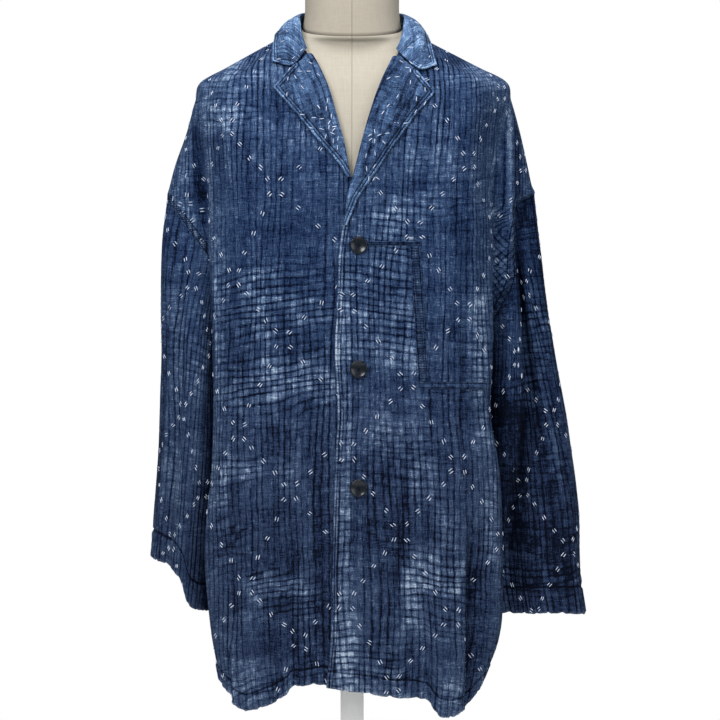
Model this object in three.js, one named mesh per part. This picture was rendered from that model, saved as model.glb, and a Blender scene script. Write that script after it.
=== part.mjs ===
// A sashiko shirt jacket buttoned on a limbless dress form, on its pole and round base.
// Millimetres, +Z up. The jacket's front faces -Y, so its wearer's left is +X. The origin is
// the middle of the base's underside, on the floor.
//
// Every panel is a bent wall. Its outside follows a net of named points, a row for each level,
// and smooth curves run through the net both ways. Heights in the tables are measured from the
// lowest point of the hem.

import * as THREE from "three";
import { mergeVertices } from "three/addons/utils/BufferGeometryUtils.js";

// ---------------------------------------------------------------- driving sizes
const HEM_LIFT = 150;          // floor to the lowest point of the hem
const CLOTH = 2.0;             // wall of the quilted double cloth
const SEAM_INSET = 0.2;        // each panel stops this far short of its seam line
const LAY_GAP = 0.4;           // between a panel and what lies on it
const OVERLAP_LIFT = 3.4;      // how far the lapping front stands over the one beneath
const OVERLAP_FADE = [24, 52]; // across this stretch it sinks back to its own level
const LIFT_FADE = [648, 700];  // and up this stretch, above the crossing of the fronts
const LAPEL_ROLL = 3.0;        // extra height of the lapel along its break line
const ROLL_WIDTH = 16;         // over which that height dies away
const BAND_WALL = 1.0;         // felled seam bands and the pocket's binding
const BUTTON_RADIUS = 10.5;
const BUTTON_THICK = 3.6;
const BUTTON_RIM = 2.2;        // width of its flat rim
const BUTTON_DISH = 1.0;       // depth of its face below the rim
const BUTTON_SLOPE = 1.4;      // width of the slope from the rim to the face
const BUTTON_FOOT = [1.2, 1];  // how far its lower edge is eased, inwards and upwards
const BUTTON_EDGE = [0.8, 0.9];  // and its upper edge, inwards and downwards
const BUTTON_SIDES = 24;
const BUTTON_X = 8;
const BUTTON_LEVELS = [562, 415, 274];
const POLE_RADIUS = 14;
const BASE_RADIUS = 150;
const BASE_THICK = 10;
const BASE_BEVEL = 3;
const BASE_SIDES = 64;
const POLE_SIDES = 32;
const POLE_GAP = 0.3;
const NECK_GAP = 0.3;

// ---------------------------------------------------------------- small helpers
/** Reads rows of numbers under named columns. */
function table(names, rows) {
  const keys = names.split(/\s+/);
  return rows.map((row) => Object.fromEntries(keys.map((key, i) => [key, row[i]])));
}

const mix = (a, b, t) => a + (b - a) * t;

function smooth(a, b, t) {
  const s = THREE.MathUtils.clamp((t - a) / (b - a), 0, 1);
  return s * s * (3 - 2 * s);
}

/** Adds a knot's tangent, times scale, to the weights of a curve through uneven knots. */
function addTangent(weights, knots, i, scale) {
  const before = Math.max(i - 1, 0);
  const after = Math.min(i + 1, knots.length - 1);
  const spanBefore = knots[i] - knots[before];
  const spanAfter = knots[after] - knots[i];
  const whole = spanBefore + spanAfter;
  if (spanBefore) {
    const part = (scale * (spanAfter || whole)) / (whole * spanBefore);
    weights[i] += part;
    weights[before] -= part;
  }
  if (spanAfter) {
    const part = (scale * (spanBefore || whole)) / (whole * spanAfter);
    weights[after] += part;
    weights[i] -= part;
  }
}

/** Weights of the values at rising knots, for a smooth curve through them read at t. */
function curveWeights(knots, t) {
  let i = 0;
  while (i < knots.length - 2 && t > knots[i + 1]) i += 1;
  const span = knots[i + 1] - knots[i];
  const s = (t - knots[i]) / span;
  const weights = new Array(knots.length).fill(0);
  weights[i] = (1 + 2 * s) * (1 - s) * (1 - s);
  weights[i + 1] = s * s * (3 - 2 * s);
  addTangent(weights, knots, i, s * (1 - s) * (1 - s) * span);
  addTangent(weights, knots, i + 1, s * s * (s - 1) * span);
  return weights;
}

/** Reads one named column of a table, whose rows rise in key, at the value t. */
function column(rows, key, name, t) {
  const weights = curveWeights(rows.map((row) => row[key]), t);
  return rows.reduce((sum, row, i) => sum + weights[i] * row[name], 0);
}

/** A column read in straight stretches, for outlines that turn sharp corners. */
function straight(rows, key, name, t) {
  let i = 0;
  while (i < rows.length - 2 && t > rows[i + 1][key]) i += 1;
  const s = (t - rows[i][key]) / (rows[i + 1][key] - rows[i][key]);
  return mix(rows[i][name], rows[i + 1][name], THREE.MathUtils.clamp(s, 0, 1));
}

/** Mean share of a net's width at which each of its stations lies. */
function stationKnots(net) {
  const sums = new Array(net[0].length).fill(0);
  for (const row of net) {
    const run = [0];
    for (let i = 1; i < row.length; i += 1) run.push(run[i - 1] + row[i].distanceTo(row[i - 1]));
    run.forEach((value, i) => { sums[i] += value / run[row.length - 1]; });
  }
  return sums.map((sum) => sum / net.length);
}

/** The point of a net of vectors at station share u and level. */
function netPoint(net, stations, levels, u, level) {
  const across = curveWeights(stations, u);
  const up = curveWeights(levels, level);
  const point = new THREE.Vector3();
  net.forEach((row, i) => {
    if (up[i] === 0) return;
    row.forEach((vector, j) => point.addScaledVector(vector, up[i] * across[j]));
  });
  return point;
}

/** Soft troughs (depth below 0) and ridges (above 0) that run down a panel, as a height. */
function foldHeight(folds, x, level) {
  return folds.reduce((sum, fold) => {
    const along = (fold.top - level) / (fold.top - fold.bottom);
    if (along <= 0 || along >= 1 + fold.open) return sum;
    const centre = mix(fold.top_x, fold.bottom_x, along);
    const ends = smooth(0, 0.35, along) * (1 - fold.closed * smooth(0.7, 1, along));
    const across = (x - centre) / fold.width;
    return sum + fold.height * ends * Math.exp(-across * across);
  }, 0);
}

const TINY = 1e-3;             // step in a share, for a surface's direction
const RISE = 1;                // step in a level, for the same
const HALVINGS = 30;           // of a stretch, to find a place in it

// ---------------------------------------------------------------- fronts
// A half front runs from its edge or break line, over the chest, to the crest of the fold that
// hangs in front of the arm, back into a tuck, over a second ridge and on to its seam. x is
// measured outwards from the middle, y towards the back. The seam is the shoulder seam down to
// the top of the armhole, then the armhole, and the side seam below the underarm.
const FRONT_COLUMNS = "level edge_x edge_y chest_y breast_y fold_x fold_y tuck_x tuck_y "
  + "ridge_x ridge_y behind_x behind_y seam_x seam_y";
const FRONT_RIGHT_ROWS = table(FRONT_COLUMNS, [
  [22, -20, -135, -133, -123, 157, -87, 158, -56, 156, -38, 155, -18, 156, 0],
  [100, -20, -134, -132, -123, 168, -84, 157, -52, 154, -36, 153, -18, 154, 0],
  [200, -20, -133, -131, -122, 176, -82, 157, -49, 152, -34, 150, -17, 151, 0],
  [300, -20, -132, -130, -121, 168, -80, 151, -46, 148, -32, 147, -16, 148, 0],
  [400, -20, -132, -130, -120, 166, -78, 149, -45, 146, -31, 146, -15, 147, 0],
  [450, -20, -132, -130, -119, 167, -77, 150, -46, 148, -31, 149, -15, 151, 0],
  [460, -20, -132, -130, -119, 167, -77, 150, -46, 149, -33, 150, -16, 152, 0],
  [475, -20, -132, -130, -119, 168, -76, 152, -46, 151, -36, 152, -26, 153, -16],
  [500, -20, -131, -130, -119, 169, -76, 155, -46, 154, -42, 155, -39, 157, -34],
  [548, -20, -130, -129, -118, 171, -74, 161, -47, 163, -48, 167, -49, 171, -49],
  [567, -20, -129, -128, -117, 172, -73, 163, -46, 172, -47, 180, -47, 186, -45],
  [600, -14, -128, -127, -115, 172, -70, 168, -44, 188, -40, 200, -35, 209, -28],
  [625, -7, -126, -125, -112, 173, -67, 172, -42, 195, -33, 213, -19, 224, 0],
  [635, -3, -125, -124, -111, 174, -65, 174, -41, 197, -31, 213, -17, 221.5, 0],
  [660, 6, -121, -120, -108, 178, -60, 178, -40, 199, -27, 209, -14, 215, 0],
  [700, 17, -111, -111, -101, 184, -50, 187, -35, 195, -22, 199, -11, 201, 0],
  [740, 28, -96, -96, -88, 180, -43, 185, -31, 188, -20, 189.5, -10, 190, 0],
  [764, 36, -82, -82, -75, 163, -42, 171, -30, 177, -19, 180.5, -10, 182, 0],
  [780, 44, -68, -68, -61, 133, -38, 142, -27, 148, -17, 151.5, -9, 153, 0],
  [800, 57, -47, -46, -40, 101, -26, 108, -19, 113, -12, 116, -6, 117, 0],
  [812, 66, -28, -26, -21, 83, -14, 89, -10, 92, -6, 94, -3, 95, 0],
  [820, 71, -12, -11, -9, 76, -6, 78, -4, 79, -2.5, 79.7, -1.2, 80, 0],
]);
const FRONT_LEFT_ROWS = table(FRONT_COLUMNS, [
  [22, -31, -135, -133, -123, 156, -87, 158, -58, 157, -38, 155, -18, 156, 0],
  [100, -25, -134, -132, -123, 177, -84, 163, -54, 157, -36, 154, -18, 154, 0],
  [180, -24, -133, -131, -122, 180, -83, 162, -51, 155, -35, 151, -17, 152, 0],
  [300, -20, -132, -130, -121, 175, -80, 157, -48, 150, -33, 147, -16, 148, 0],
  [360, -17, -132, -130, -120, 166, -79, 151, -46, 147, -32, 146, -15, 147, 0],
  [430, -20, -132, -130, -119, 168, -77, 151, -46, 149, -31, 150, -15, 152, 0],
  [440, -20, -132, -130, -119, 168, -77, 152, -46, 150, -33, 151, -16, 153, 0],
  [450, -20, -132, -130, -119, 169, -77, 154, -47, 153, -41, 155, -34, 158, -24],
  [467, -19, -132, -130, -119, 169, -76, 158, -49, 161, -48, 164, -47, 168, -45],
  [490, -18, -131, -130, -119, 169, -76, 164, -52, 171, -53, 176, -53, 181, -51],
  [518, -17, -131, -130, -118, 168, -75, 168, -52, 181, -55, 189, -55, 195, -53],
  [555, -15, -130, -129, -117, 167, -73, 169, -50, 185, -52, 192, -50, 196, -46],
  [595, -9, -128, -127, -115, 166, -71, 168, -50, 189, -51, 195, -44, 197, -36],
  [616, -5, -127, -126, -113, 165, -69, 167, -50, 191, -50, 197, -35, 202, -23],
  [627, -2, -126, -125, -112, 165, -68, 167, -50, 192, -48, 205, -24, 221, 0],
  [637, 1, -124, -124, -111, 166, -66, 168, -49, 192, -45, 205, -22, 218, 0],
  [660, 9, -121, -120, -108, 168, -62, 171, -46, 191, -40, 203, -18, 213, 0],
  [700, 18, -111, -111, -101, 173, -52, 178, -38, 190, -28, 199, -13, 204, 0],
  [740, 31, -96, -96, -88, 178, -44, 184, -32, 189, -21, 192, -10, 193, 0],
  [766, 41, -81, -81, -74, 164, -41, 172, -30, 178, -19, 182, -10, 183.5, 0],
  [780, 48, -68, -68, -61, 134, -38, 143, -27, 149, -17, 153, -9, 155, 0],
  [800, 58, -47, -46, -40, 100, -26, 107, -19, 112, -12, 115, -6, 116, 0],
  [812, 66, -28, -26, -21, 81, -14, 87, -10, 90, -6, 92, -3, 93, 0],
  [820, 71, -12, -11, -9, 75, -6, 77, -4, 78, -2.5, 78.7, -1.2, 79, 0],
]);
const CHEST_SHARE = 0.42;
const BREAST_SHARE = 0.8;
const FRONT_STATIONS = ["edge", "chest", "breast", "fold", "tuck", "ridge", "behind", "seam"];

// Height of the hem's edge at each station: it dips in two lobes and climbs round the sides.
const HEM_RIGHT = { edge: 36, chest: 33, breast: 6, fold: 38, tuck: 56, ridge: 60, behind: 60, seam: 60 };
const HEM_LEFT = { edge: 32, chest: 25, breast: 2, fold: 40, tuck: 60, ridge: 62, behind: 60, seam: 60 };

// The largest hanging folds. Heights are outwards; open folds run on out of the hem.
const FOLD_COLUMNS = "top_x bottom_x top bottom width height closed open";
const FOLDS_RIGHT = table(FOLD_COLUMNS, [
  [118, 128, 330, 20, 24, 7, 0, 1],
  [92, 78, 300, 20, 18, -6, 0, 1],
]);
const FOLDS_LEFT = table(FOLD_COLUMNS, [
  [112, 112, 320, 20, 22, 7, 0, 1],
  [140, 139, 230, 20, 9, -10, 0, 1],
  [70, 76, 260, 20, 18, -5, 0, 1],
]);

const FRONTS = {
  right: { side: -1, rows: FRONT_RIGHT_ROWS, hem: HEM_RIGHT, folds: FOLDS_RIGHT, laps: false },
  left: { side: 1, rows: FRONT_LEFT_ROWS, hem: HEM_LEFT, folds: FOLDS_LEFT, laps: true },
};

/** A front's net: x outwards, y, z. */
function frontNet(front) {
  return front.rows.map((row, i) => FRONT_STATIONS.map((station) => {
    const share = { chest: CHEST_SHARE, breast: BREAST_SHARE }[station];
    const x = share ? mix(row.edge_x, row.fold_x, share) : row[`${station}_x`];
    const z = i === 0 ? front.hem[station] : row.level;
    return new THREE.Vector3(x, row[`${station}_y`], z);
  }));
}

for (const front of Object.values(FRONTS)) {
  front.net = frontNet(front);
  front.stations = stationKnots(front.net);
  front.levels = front.rows.map((row) => row.level);
}

/** How far the lapping front is lifted over the one beneath it. */
function overlapLift(x, level) {
  const across = 1 - smooth(OVERLAP_FADE[0], OVERLAP_FADE[1], x);
  const up = 1 - smooth(LIFT_FADE[0], LIFT_FADE[1], level);
  return OVERLAP_LIFT * across * up;
}

/** A point of a front's outside, with x outwards. */
function frontPoint(front, u, level) {
  const point = netPoint(front.net, front.stations, front.levels, u, level);
  const facing = 1 - smooth(front.stations[2], front.stations[3], u);
  const lift = front.laps ? overlapLift(point.x, level) : 0;
  point.y -= lift + facing * foldHeight(front.folds, point.x, level);
  return point;
}

/** The station share of a front that lies x outwards at a level, found by halving. */
function frontShare(front, x, level) {
  let low = 0;
  let high = front.stations[3];
  for (let i = 0; i < HALVINGS; i += 1) {
    const half = (low + high) / 2;
    if (frontPoint(front, half, level).x < x) low = half;
    else high = half;
  }
  return (low + high) / 2;
}

// ---------------------------------------------------------------- back
// A half back runs from the centre, over the shoulder blade, to the fold behind the arm, into a
// tuck and on to the same seams. Its seam points are the front's, but for the armhole.
const BACK_ROWS = table("level centre_y blade_y fold_x fold_y tuck_x tuck_y", [
  [22, 134, 126, 166, 80, 160, 44],
  [100, 133, 125, 167, 78, 159, 43],
  [200, 130, 122, 166, 76, 156, 42],
  [300, 126, 118, 163, 74, 153, 41],
  [400, 123, 116, 161, 72, 151, 40],
  [460, 123, 116, 161, 72, 153, 41],
  [500, 124, 117, 162, 71, 157, 43],
  [555, 126, 118, 165, 70, 164, 47],
  [600, 126, 117, 170, 67, 172, 45],
  [627, 126, 115, 174, 64, 180, 41],
  [660, 124, 113, 178, 60, 185, 38],
  [700, 119, 108, 181, 54, 187, 34],
  [740, 110, 98, 174, 47, 182, 31],
  [764, 100, 89, 163, 51, 172, 34],
  [780, 89, 79, 134, 50, 146, 32],
  [800, 70, 63, 101, 38, 110, 24],
  [812, 63, 55, 82, 25, 89, 15],
  [820, 60, 50, 76, 12, 78.5, 6],
]);
const BACK_STATIONS = ["centre", "mid", "blade", "fold", "tuck", "behind", "seam"];
const MID_SHARE = 0.42;
const BLADE_SHARE = 0.8;
const MID_FALL = 0.25;         // share of the fall from centre to blade that lies inside the mid
const BEHIND_X = 0.55;         // where the cloth behind the tuck lies, from tuck to seam
const BEHIND_Y = 0.5;
const FOLD_REACH = 8;          // the fold may stand this far outside the seam
const TUCK_REACH = 3;          // and the tuck this far
const TUCK_DEPTH = 2;          // the tuck lies at least this far behind the seam
const ROW_SPACE = 12;          // a row nearer than this to one of the armhole's is left out
const BACK_HEM = { centre: 30, mid: 24, blade: 22, fold: 40, tuck: 56, behind: 60, seam: 60 };
// The back neck is scooped: how far below the top row its edge lies at each station.
const BACK_NECK = { centre: -6, mid: -5, blade: -2.5, fold: -0.5, tuck: 0, behind: 0, seam: 0 };
const FOLDS_BACK = table(FOLD_COLUMNS, [
  [-104, -118, 420, 20, 24, 7, 0, 1],
  [-70, -76, 360, 20, 18, -6, 0, 1],
  [-28, -20, 300, 20, 22, 5, 0, 1],
  [22, 30, 380, 20, 18, -6, 0, 1],
  [74, 80, 330, 20, 22, 7, 0, 1],
  [112, 122, 400, 20, 18, -6, 0, 1],
]);
// The back's share of each armhole, which the front's rows give for the other half.
const ARMHOLE_BACK = {
  right: table("level x y", [
    [460, 152, 0], [475, 153.5, 18], [500, 158, 36], [548, 173, 50],
    [567, 188, 46], [600, 210, 29], [625, 224, 0],
  ]),
  left: table("level x y", [
    [440, 153, 0], [450, 157, 18], [467, 166, 36], [490, 176, 46], [518, 187, 51],
    [555, 201, 48], [595, 214, 31], [616, 219, 15], [627, 221, 0],
  ]),
};

/** A half back's seam point at a level: the armhole's back edge, or the front's own seam. */
function backSeam(name, level) {
  const hole = ARMHOLE_BACK[name];
  const inHole = level > hole[0].level && level < hole[hole.length - 1].level;
  if (inHole) return [column(hole, "level", "x", level), column(hole, "level", "y", level)];
  const seam = netPoint(FRONTS[name].net, FRONTS[name].stations, FRONTS[name].levels, 1, level);
  return [seam.x, seam.y];
}

/** A point of the back's outside; s runs from -1, the right seam, over the centre to 1. */
function backPoint(s, level) {
  const name = s < 0 ? "right" : "left";
  const back = BACKS[name];
  const point = netPoint(back.net, back.stations, back.levels, Math.abs(s), level);
  const [seamX, seamY] = backSeam(name, level);
  const atSeam = netPoint(back.net, back.stations, back.levels, 1, level);
  const near = smooth(back.stations[4], 1, Math.abs(s));
  point.x += near * (seamX - atSeam.x);
  point.y += near * (seamY - atSeam.y);
  point.x *= FRONTS[name].side;
  const facing = 1 - smooth(back.stations[2], back.stations[3], Math.abs(s));
  point.y += facing * foldHeight(FOLDS_BACK, point.x, level);
  return point;
}

/** A half back's net, with every level that its armhole has. */
function backNet(name) {
  const own = BACK_ROWS.map((row) => row.level);
  const hole = ARMHOLE_BACK[name].map((row) => row.level);
  const near = (level) => hole.some((other) => Math.abs(other - level) < ROW_SPACE);
  const levels = [...own.filter((level) => !near(level)), ...hole].sort((a, b) => a - b);
  const net = levels.map((level, i) => {
    const [seamX, seamY] = backSeam(name, level);
    const read = (key) => column(BACK_ROWS, "level", key, level);
    const foldX = Math.min(read("fold_x"), seamX + FOLD_REACH);
    const tuckX = Math.min(read("tuck_x"), seamX + TUCK_REACH);
    const tuckY = Math.max(read("tuck_y"), seamY + TUCK_DEPTH);
    const places = {
      centre: [0, read("centre_y")],
      mid: [foldX * MID_SHARE, mix(read("centre_y"), read("blade_y"), MID_FALL)],
      blade: [foldX * BLADE_SHARE, read("blade_y")],
      fold: [foldX, read("fold_y")],
      tuck: [tuckX, tuckY],
      behind: [mix(tuckX, seamX, BEHIND_X), mix(tuckY, seamY, BEHIND_Y)],
      seam: [seamX, seamY],
    };
    return BACK_STATIONS.map((station) => {
      let z = level;
      if (i === 0) z = BACK_HEM[station];
      if (i === levels.length - 1) z += BACK_NECK[station];
      return new THREE.Vector3(...places[station], z);
    });
  });
  return { net, levels, stations: stationKnots(net) };
}

const BACKS = { right: backNet("right"), left: backNet("left") };

// ---------------------------------------------------------------- sleeves
// A sleeve is a flattened tube. Each row is a slanted section: its heights at the outside and
// the inside, where those lie, its depth to the front and back, and the crest of the fold that
// hangs down its front, with how far the cloth outside that crest falls back.
const SLEEVE_COLUMNS = "along outer_z inner_z outer_x inner_x front_y back_y crest_x recess";
const SLEEVES = {
  right: {
    side: -1,
    under: 460,
    top: 625,
    rows: table(SLEEVE_COLUMNS, [
      [0, 625, 460, 224, 152, -50, 52, 204, 0],
      [0.13, 572, 425, 230, 155, -62, 60, 208, 6],
      [0.3, 500, 378, 232, 156, -70, 66, 208, 12],
      [0.5, 410, 300, 231, 158, -70, 66, 206, 13],
      [0.7, 310, 222, 234, 161, -66, 62, 206, 14],
      [0.88, 232, 160, 240, 165, -60, 58, 208, 17],
      [1, 188, 124, 244, 168, -56, 56, 212, 18],
    ]),
  },
  left: {
    side: 1,
    under: 440,
    top: 627,
    rows: table(SLEEVE_COLUMNS, [
      [0, 627, 440, 221, 153, -55, 52, 198, 12],
      [0.13, 574, 405, 227, 156, -64, 60, 197, 34],
      [0.3, 505, 355, 235, 157, -68, 64, 199, 40],
      [0.5, 415, 300, 249, 158, -66, 62, 197, 38],
      [0.66, 330, 250, 263, 158, -60, 58, 186, 32],
      [0.8, 250, 200, 273, 160, -54, 54, 180, 18],
      [0.92, 170, 150, 277, 162, -50, 52, 180, 8],
      [1, 120, 120, 284, 165, -48, 50, 180, 4],
    ]),
  },
};
const SLEEVE_FLATNESS = 0.82;  // 1 is an ellipse; less squares the section off
const CREST_STEP = 11;         // stretch over which the cloth falls back behind the crest
const FRONT_LIMIT = -4;        // the fallen cloth stays at least this far in front of the middle

/** A point of a sleeve's armhole: turn runs 0 to 1 from the top, down the front and up again. */
function armholePoint(name, turn) {
  const sleeve = SLEEVES[name];
  const down = (1 - Math.cos(turn * 2 * Math.PI)) / 2;
  const level = mix(sleeve.top, sleeve.under, down);
  if (turn <= 0.5) {
    const front = FRONTS[name];
    return netPoint(front.net, front.stations, front.levels, 1, level);
  }
  const hole = ARMHOLE_BACK[name];
  return new THREE.Vector3(column(hole, "level", "x", level), column(hole, "level", "y", level), level);
}

/** The plain flattened section of a sleeve, before it is drawn to the armhole. */
function sleeveSection(name, turn, along) {
  const { rows } = SLEEVES[name];
  const read = (key) => column(rows, "along", key, along);
  const angle = turn * 2 * Math.PI;
  const power = (value) => Math.sign(value) * Math.abs(value) ** SLEEVE_FLATNESS;
  const across = (1 + power(Math.cos(angle))) / 2;
  const x = mix(read("inner_x"), read("outer_x"), across);
  const depth = turn <= 0.5 ? read("front_y") : -read("back_y");
  let y = depth * power(Math.sin(angle));
  if (turn <= 0.5) {
    const crest = read("crest_x");
    const fallsBack = smooth(0, CREST_STEP, x - crest);
    const outside = THREE.MathUtils.clamp((x - crest) / (read("outer_x") - crest), 0, 1);
    const fallen = y + read("recess") * fallsBack * (1 - outside * outside);
    y = Math.min(fallen, Math.max(y, FRONT_LIMIT));
  }
  const z = mix(read("inner_z"), read("outer_z"), smooth(0, 1, across));
  return new THREE.Vector3(x, y, z);
}

/** A point of a sleeve's outside, with x outwards. */
function sleevePoint(name, turn, along) {
  const whole = turn - Math.floor(turn);
  const point = sleeveSection(name, whole, along);
  const drawn = armholePoint(name, whole).sub(sleeveSection(name, whole, 0));
  return point.addScaledVector(drawn, (1 - along) ** 3 * (1 + 2 * along));
}

// ---------------------------------------------------------------- wall directions
/** The unit normal of a surface at (u, v), from small steps each way. */
function normalOf(surface, u, v, stepU, stepV) {
  const acrossU = surface(u + stepU, v).sub(surface(u - stepU, v));
  const acrossV = surface(u, v + stepV).sub(surface(u, v - stepV));
  return acrossU.cross(acrossV).normalize();
}

const HOLE_CENTRE = 25;        // the armhole's middle at the underarm, above it
const HOLE_RISE = 0.6;         // how much of a point's own rise its middle shares
const SEAM_STEP = 4;           // half the stretch over which a seam's slope is read
const UNDERARM_EASE = 30;      // stretch over which a seam's direction becomes the armhole's
const SEAM_REACH = 0.1;        // share of a panel over which its wall turns to the seam's

/** Outward direction at an armhole point (x outwards), which both its neighbours share. */
function armholeDirection(name, point) {
  const { under } = SLEEVES[name];
  const x = mix(armholePoint(name, 0.5).x, point.x, 0.5);
  const z = under + HOLE_CENTRE + HOLE_RISE * (point.z - under);
  return point.clone().sub(new THREE.Vector3(x, 0, z)).normalize();
}

/** Outward direction on a shoulder or side seam: square to the seam, in the plane of x and z. */
function seamDirection(name, level) {
  const front = FRONTS[name];
  const at = (value) => netPoint(front.net, front.stations, front.levels, 1, value);
  const low = Math.max(level - SEAM_STEP, front.levels[0]);
  const high = Math.min(level + SEAM_STEP, front.levels[front.levels.length - 1]);
  const along = at(high).sub(at(low));
  return new THREE.Vector3(along.z, 0, -along.x).normalize();
}

/** A body panel's seam direction at a level, easing from seam to armhole at the underarm. */
function edgeDirection(name, level, point) {
  const { under, top } = SLEEVES[name];
  const hole = armholeDirection(name, point);
  const seam = seamDirection(name, level);
  const below = smooth(under - UNDERARM_EASE, under, level);
  const above = 1 - smooth(top, top + UNDERARM_EASE, level);
  const inHole = level < (under + top) / 2 ? below : above;
  return seam.lerp(hole, inHole).normalize();
}

// ---------------------------------------------------------------- closed walls
/** A closed wall over a grid: place(i, j, layer) gives each corner, layer 1 being the outside. */
function wallGrid(columns, rows, place) {
  const box = new THREE.BoxGeometry(1, 1, 1, columns, rows, 1);
  const spots = box.attributes.position;
  for (let k = 0; k < spots.count; k += 1) {
    const i = Math.round((spots.getX(k) + 0.5) * columns);
    const j = Math.round((spots.getY(k) + 0.5) * rows);
    const layer = spots.getZ(k) > 0 ? 1 : 0;
    const point = place(i, j, layer);
    spots.setXYZ(k, point.x, point.y, point.z);
  }
  return closedBody(box);
}

/** Merges a geometry's corners and turns its faces out. */
function closedBody(geometry) {
  geometry.deleteAttribute("normal");
  geometry.deleteAttribute("uv");
  const merged = mergeVertices(geometry, 1e-4);
  const spots = merged.attributes.position;
  const index = merged.index.array;
  const corner = (k) => new THREE.Vector3().fromBufferAttribute(spots, index[k]);
  let volume = 0;
  for (let k = 0; k < index.length; k += 3) volume += corner(k).dot(corner(k + 1).cross(corner(k + 2)));
  if (volume < 0) {
    for (let k = 0; k < index.length; k += 3) [index[k], index[k + 1]] = [index[k + 1], index[k]];
  }
  return merged;
}

/** Steps each point of a run of places towards its neighbour, so that seams stay apart. */
function inset(grid) {
  const last = grid.length - 1;
  const end = grid[0].length - 1;
  const pull = (from, to) => {
    const step = to.clone().sub(from);
    return from.clone().addScaledVector(step, Math.min(SEAM_INSET / step.length(), 0.4));
  };
  for (let j = 0; j <= end; j += 1) {
    grid[0][j] = pull(grid[0][j], grid[1][j]);
    grid[last][j] = pull(grid[last][j], grid[last - 1][j]);
  }
  for (let i = 0; i <= last; i += 1) {
    grid[i][0] = pull(grid[i][0], grid[i][1]);
    grid[i][end] = pull(grid[i][end], grid[i][end - 1]);
  }
  return grid;
}

/** Splits every gap between rising knots into even steps. */
function stepsBetween(knots, counts) {
  const steps = [knots[0]];
  knots.slice(1).forEach((knot, i) => {
    for (let k = 1; k <= counts[i]; k += 1) steps.push(mix(knots[i], knot, k / counts[i]));
  });
  return steps;
}

/** A wall from its outside points and the directions in which it faces. */
function wallFrom(points, directions, thickness, side) {
  const place = (i, j, layer) => {
    const point = points[i][j].clone();
    if (!layer) point.addScaledVector(directions[i][j], -thickness);
    return new THREE.Vector3(point.x * side, point.y, point.z + HEM_LIFT);
  };
  return wallGrid(points.length - 1, points[0].length - 1, place);
}

const FRONT_STEPS = [4, 2, 2, 2, 1, 1, 2];  // cells between a front's stations
// The levels at which each side's panels have a row of corners. Its armhole's are shared by the
// sleeve, so that the faceted edges run side by side.
const BELOW_HOLE = {
  right: [22, 60, 100, 150, 200, 250, 300, 350, 400, 430, 450],
  left: [22, 60, 100, 150, 200, 250, 300, 345, 385, 412, 430],
};
const IN_HOLE = {
  right: [460, 465, 477, 495, 520, 548, 575, 600, 614, 622, 625],
  left: [440, 446, 459, 480, 505, 535, 567, 595, 613, 623, 627],
};
const ABOVE_HOLE = {
  right: [637, 660, 700, 740, 764, 780, 798, 812, 820],
  left: [639, 660, 700, 740, 766, 780, 798, 812, 820],
};
const LEVELS = {
  right: [...BELOW_HOLE.right, ...IN_HOLE.right, ...ABOVE_HOLE.right],
  left: [...BELOW_HOLE.left, ...IN_HOLE.left, ...ABOVE_HOLE.left],
};
const LOWEST = LEVELS.left[0];
const HIGHEST = LEVELS.left[LEVELS.left.length - 1];

/** The wall of one front. */
function frontWall(name) {
  const front = FRONTS[name];
  const shares = stepsBetween(front.stations, FRONT_STEPS);
  const surface = (u, v) => frontPoint(front, u, v);
  const points = shares.map((u) => LEVELS[name].map((level) => surface(u, level)));
  const directions = shares.map((u) => LEVELS[name].map((level) => {
    const at = THREE.MathUtils.clamp(u, TINY, 1 - TINY);
    const height = THREE.MathUtils.clamp(level, LOWEST + RISE, HIGHEST - RISE);
    const own = normalOf(surface, at, height, TINY, RISE);
    const seam = edgeDirection(name, level, surface(1, level));
    return own.lerp(seam, smooth(1 - SEAM_REACH, 1, u)).normalize();
  }));
  return wallFrom(inset(points), directions, CLOTH, front.side);
}

const BACK_STEPS = [2, 2, 2, 2, 1, 2];      // cells between a half back's stations

/** The wall of the back, from seam to seam. */
function backWall() {
  const half = (name) => stepsBetween(BACKS[name].stations, BACK_STEPS);
  const shares = [...half("right").reverse().map((u) => -u), ...half("left").slice(1)];
  const levelsAt = (s) => LEVELS.right.map((level, j) => mix(level, LEVELS.left[j], (s + 1) / 2));
  const points = shares.map((s) => levelsAt(s).map((level) => backPoint(s, level)));
  const directions = shares.map((s) => levelsAt(s).map((level) => {
    const name = s < 0 ? "right" : "left";
    const { side } = FRONTS[name];
    const at = THREE.MathUtils.clamp(s, TINY - 1, 1 - TINY);
    const height = THREE.MathUtils.clamp(level, LOWEST + RISE, HIGHEST - RISE);
    const own = normalOf(backPoint, at, height, TINY, RISE).multiplyScalar(-1);
    const end = backPoint(side, level);
    end.x *= side;
    const seam = edgeDirection(name, level, end);
    seam.x *= side;
    return own.lerp(seam, smooth(1 - SEAM_REACH, 1, Math.abs(s))).normalize();
  }));
  return wallFrom(inset(points), directions, CLOTH, 1);
}

const SLEEVE_ALONG = [0, 0.04, 0.1, 0.18, 0.28, 0.4, 0.52, 0.64, 0.76, 0.88, 1];
const SLEEVE_REACH = 0.08;        // share of its length over which its wall turns its own way
const SLEEVE_INSET = [0.6, 1.3];  // its gap to the armhole, at the top and at the underarm
const TURN_STEP = 0.004;          // steps round and along, for its wall's direction
const ALONG_STEP = 0.008;
const ALONG_ENDS = 0.01;          // and how far from its ends that is read

/** Where each corner of a sleeve's ring lies round it, as a share of the turn. */
function sleeveTurns(name) {
  const { under, top } = SLEEVES[name];
  const down = [...IN_HOLE[name]].reverse().map((level) => (top - level) / (top - under));
  const front = down.map((share) => Math.acos(1 - 2 * share) / (2 * Math.PI));
  return [...front, ...front.slice(1, -1).reverse().map((turn) => 1 - turn)];
}

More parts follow.
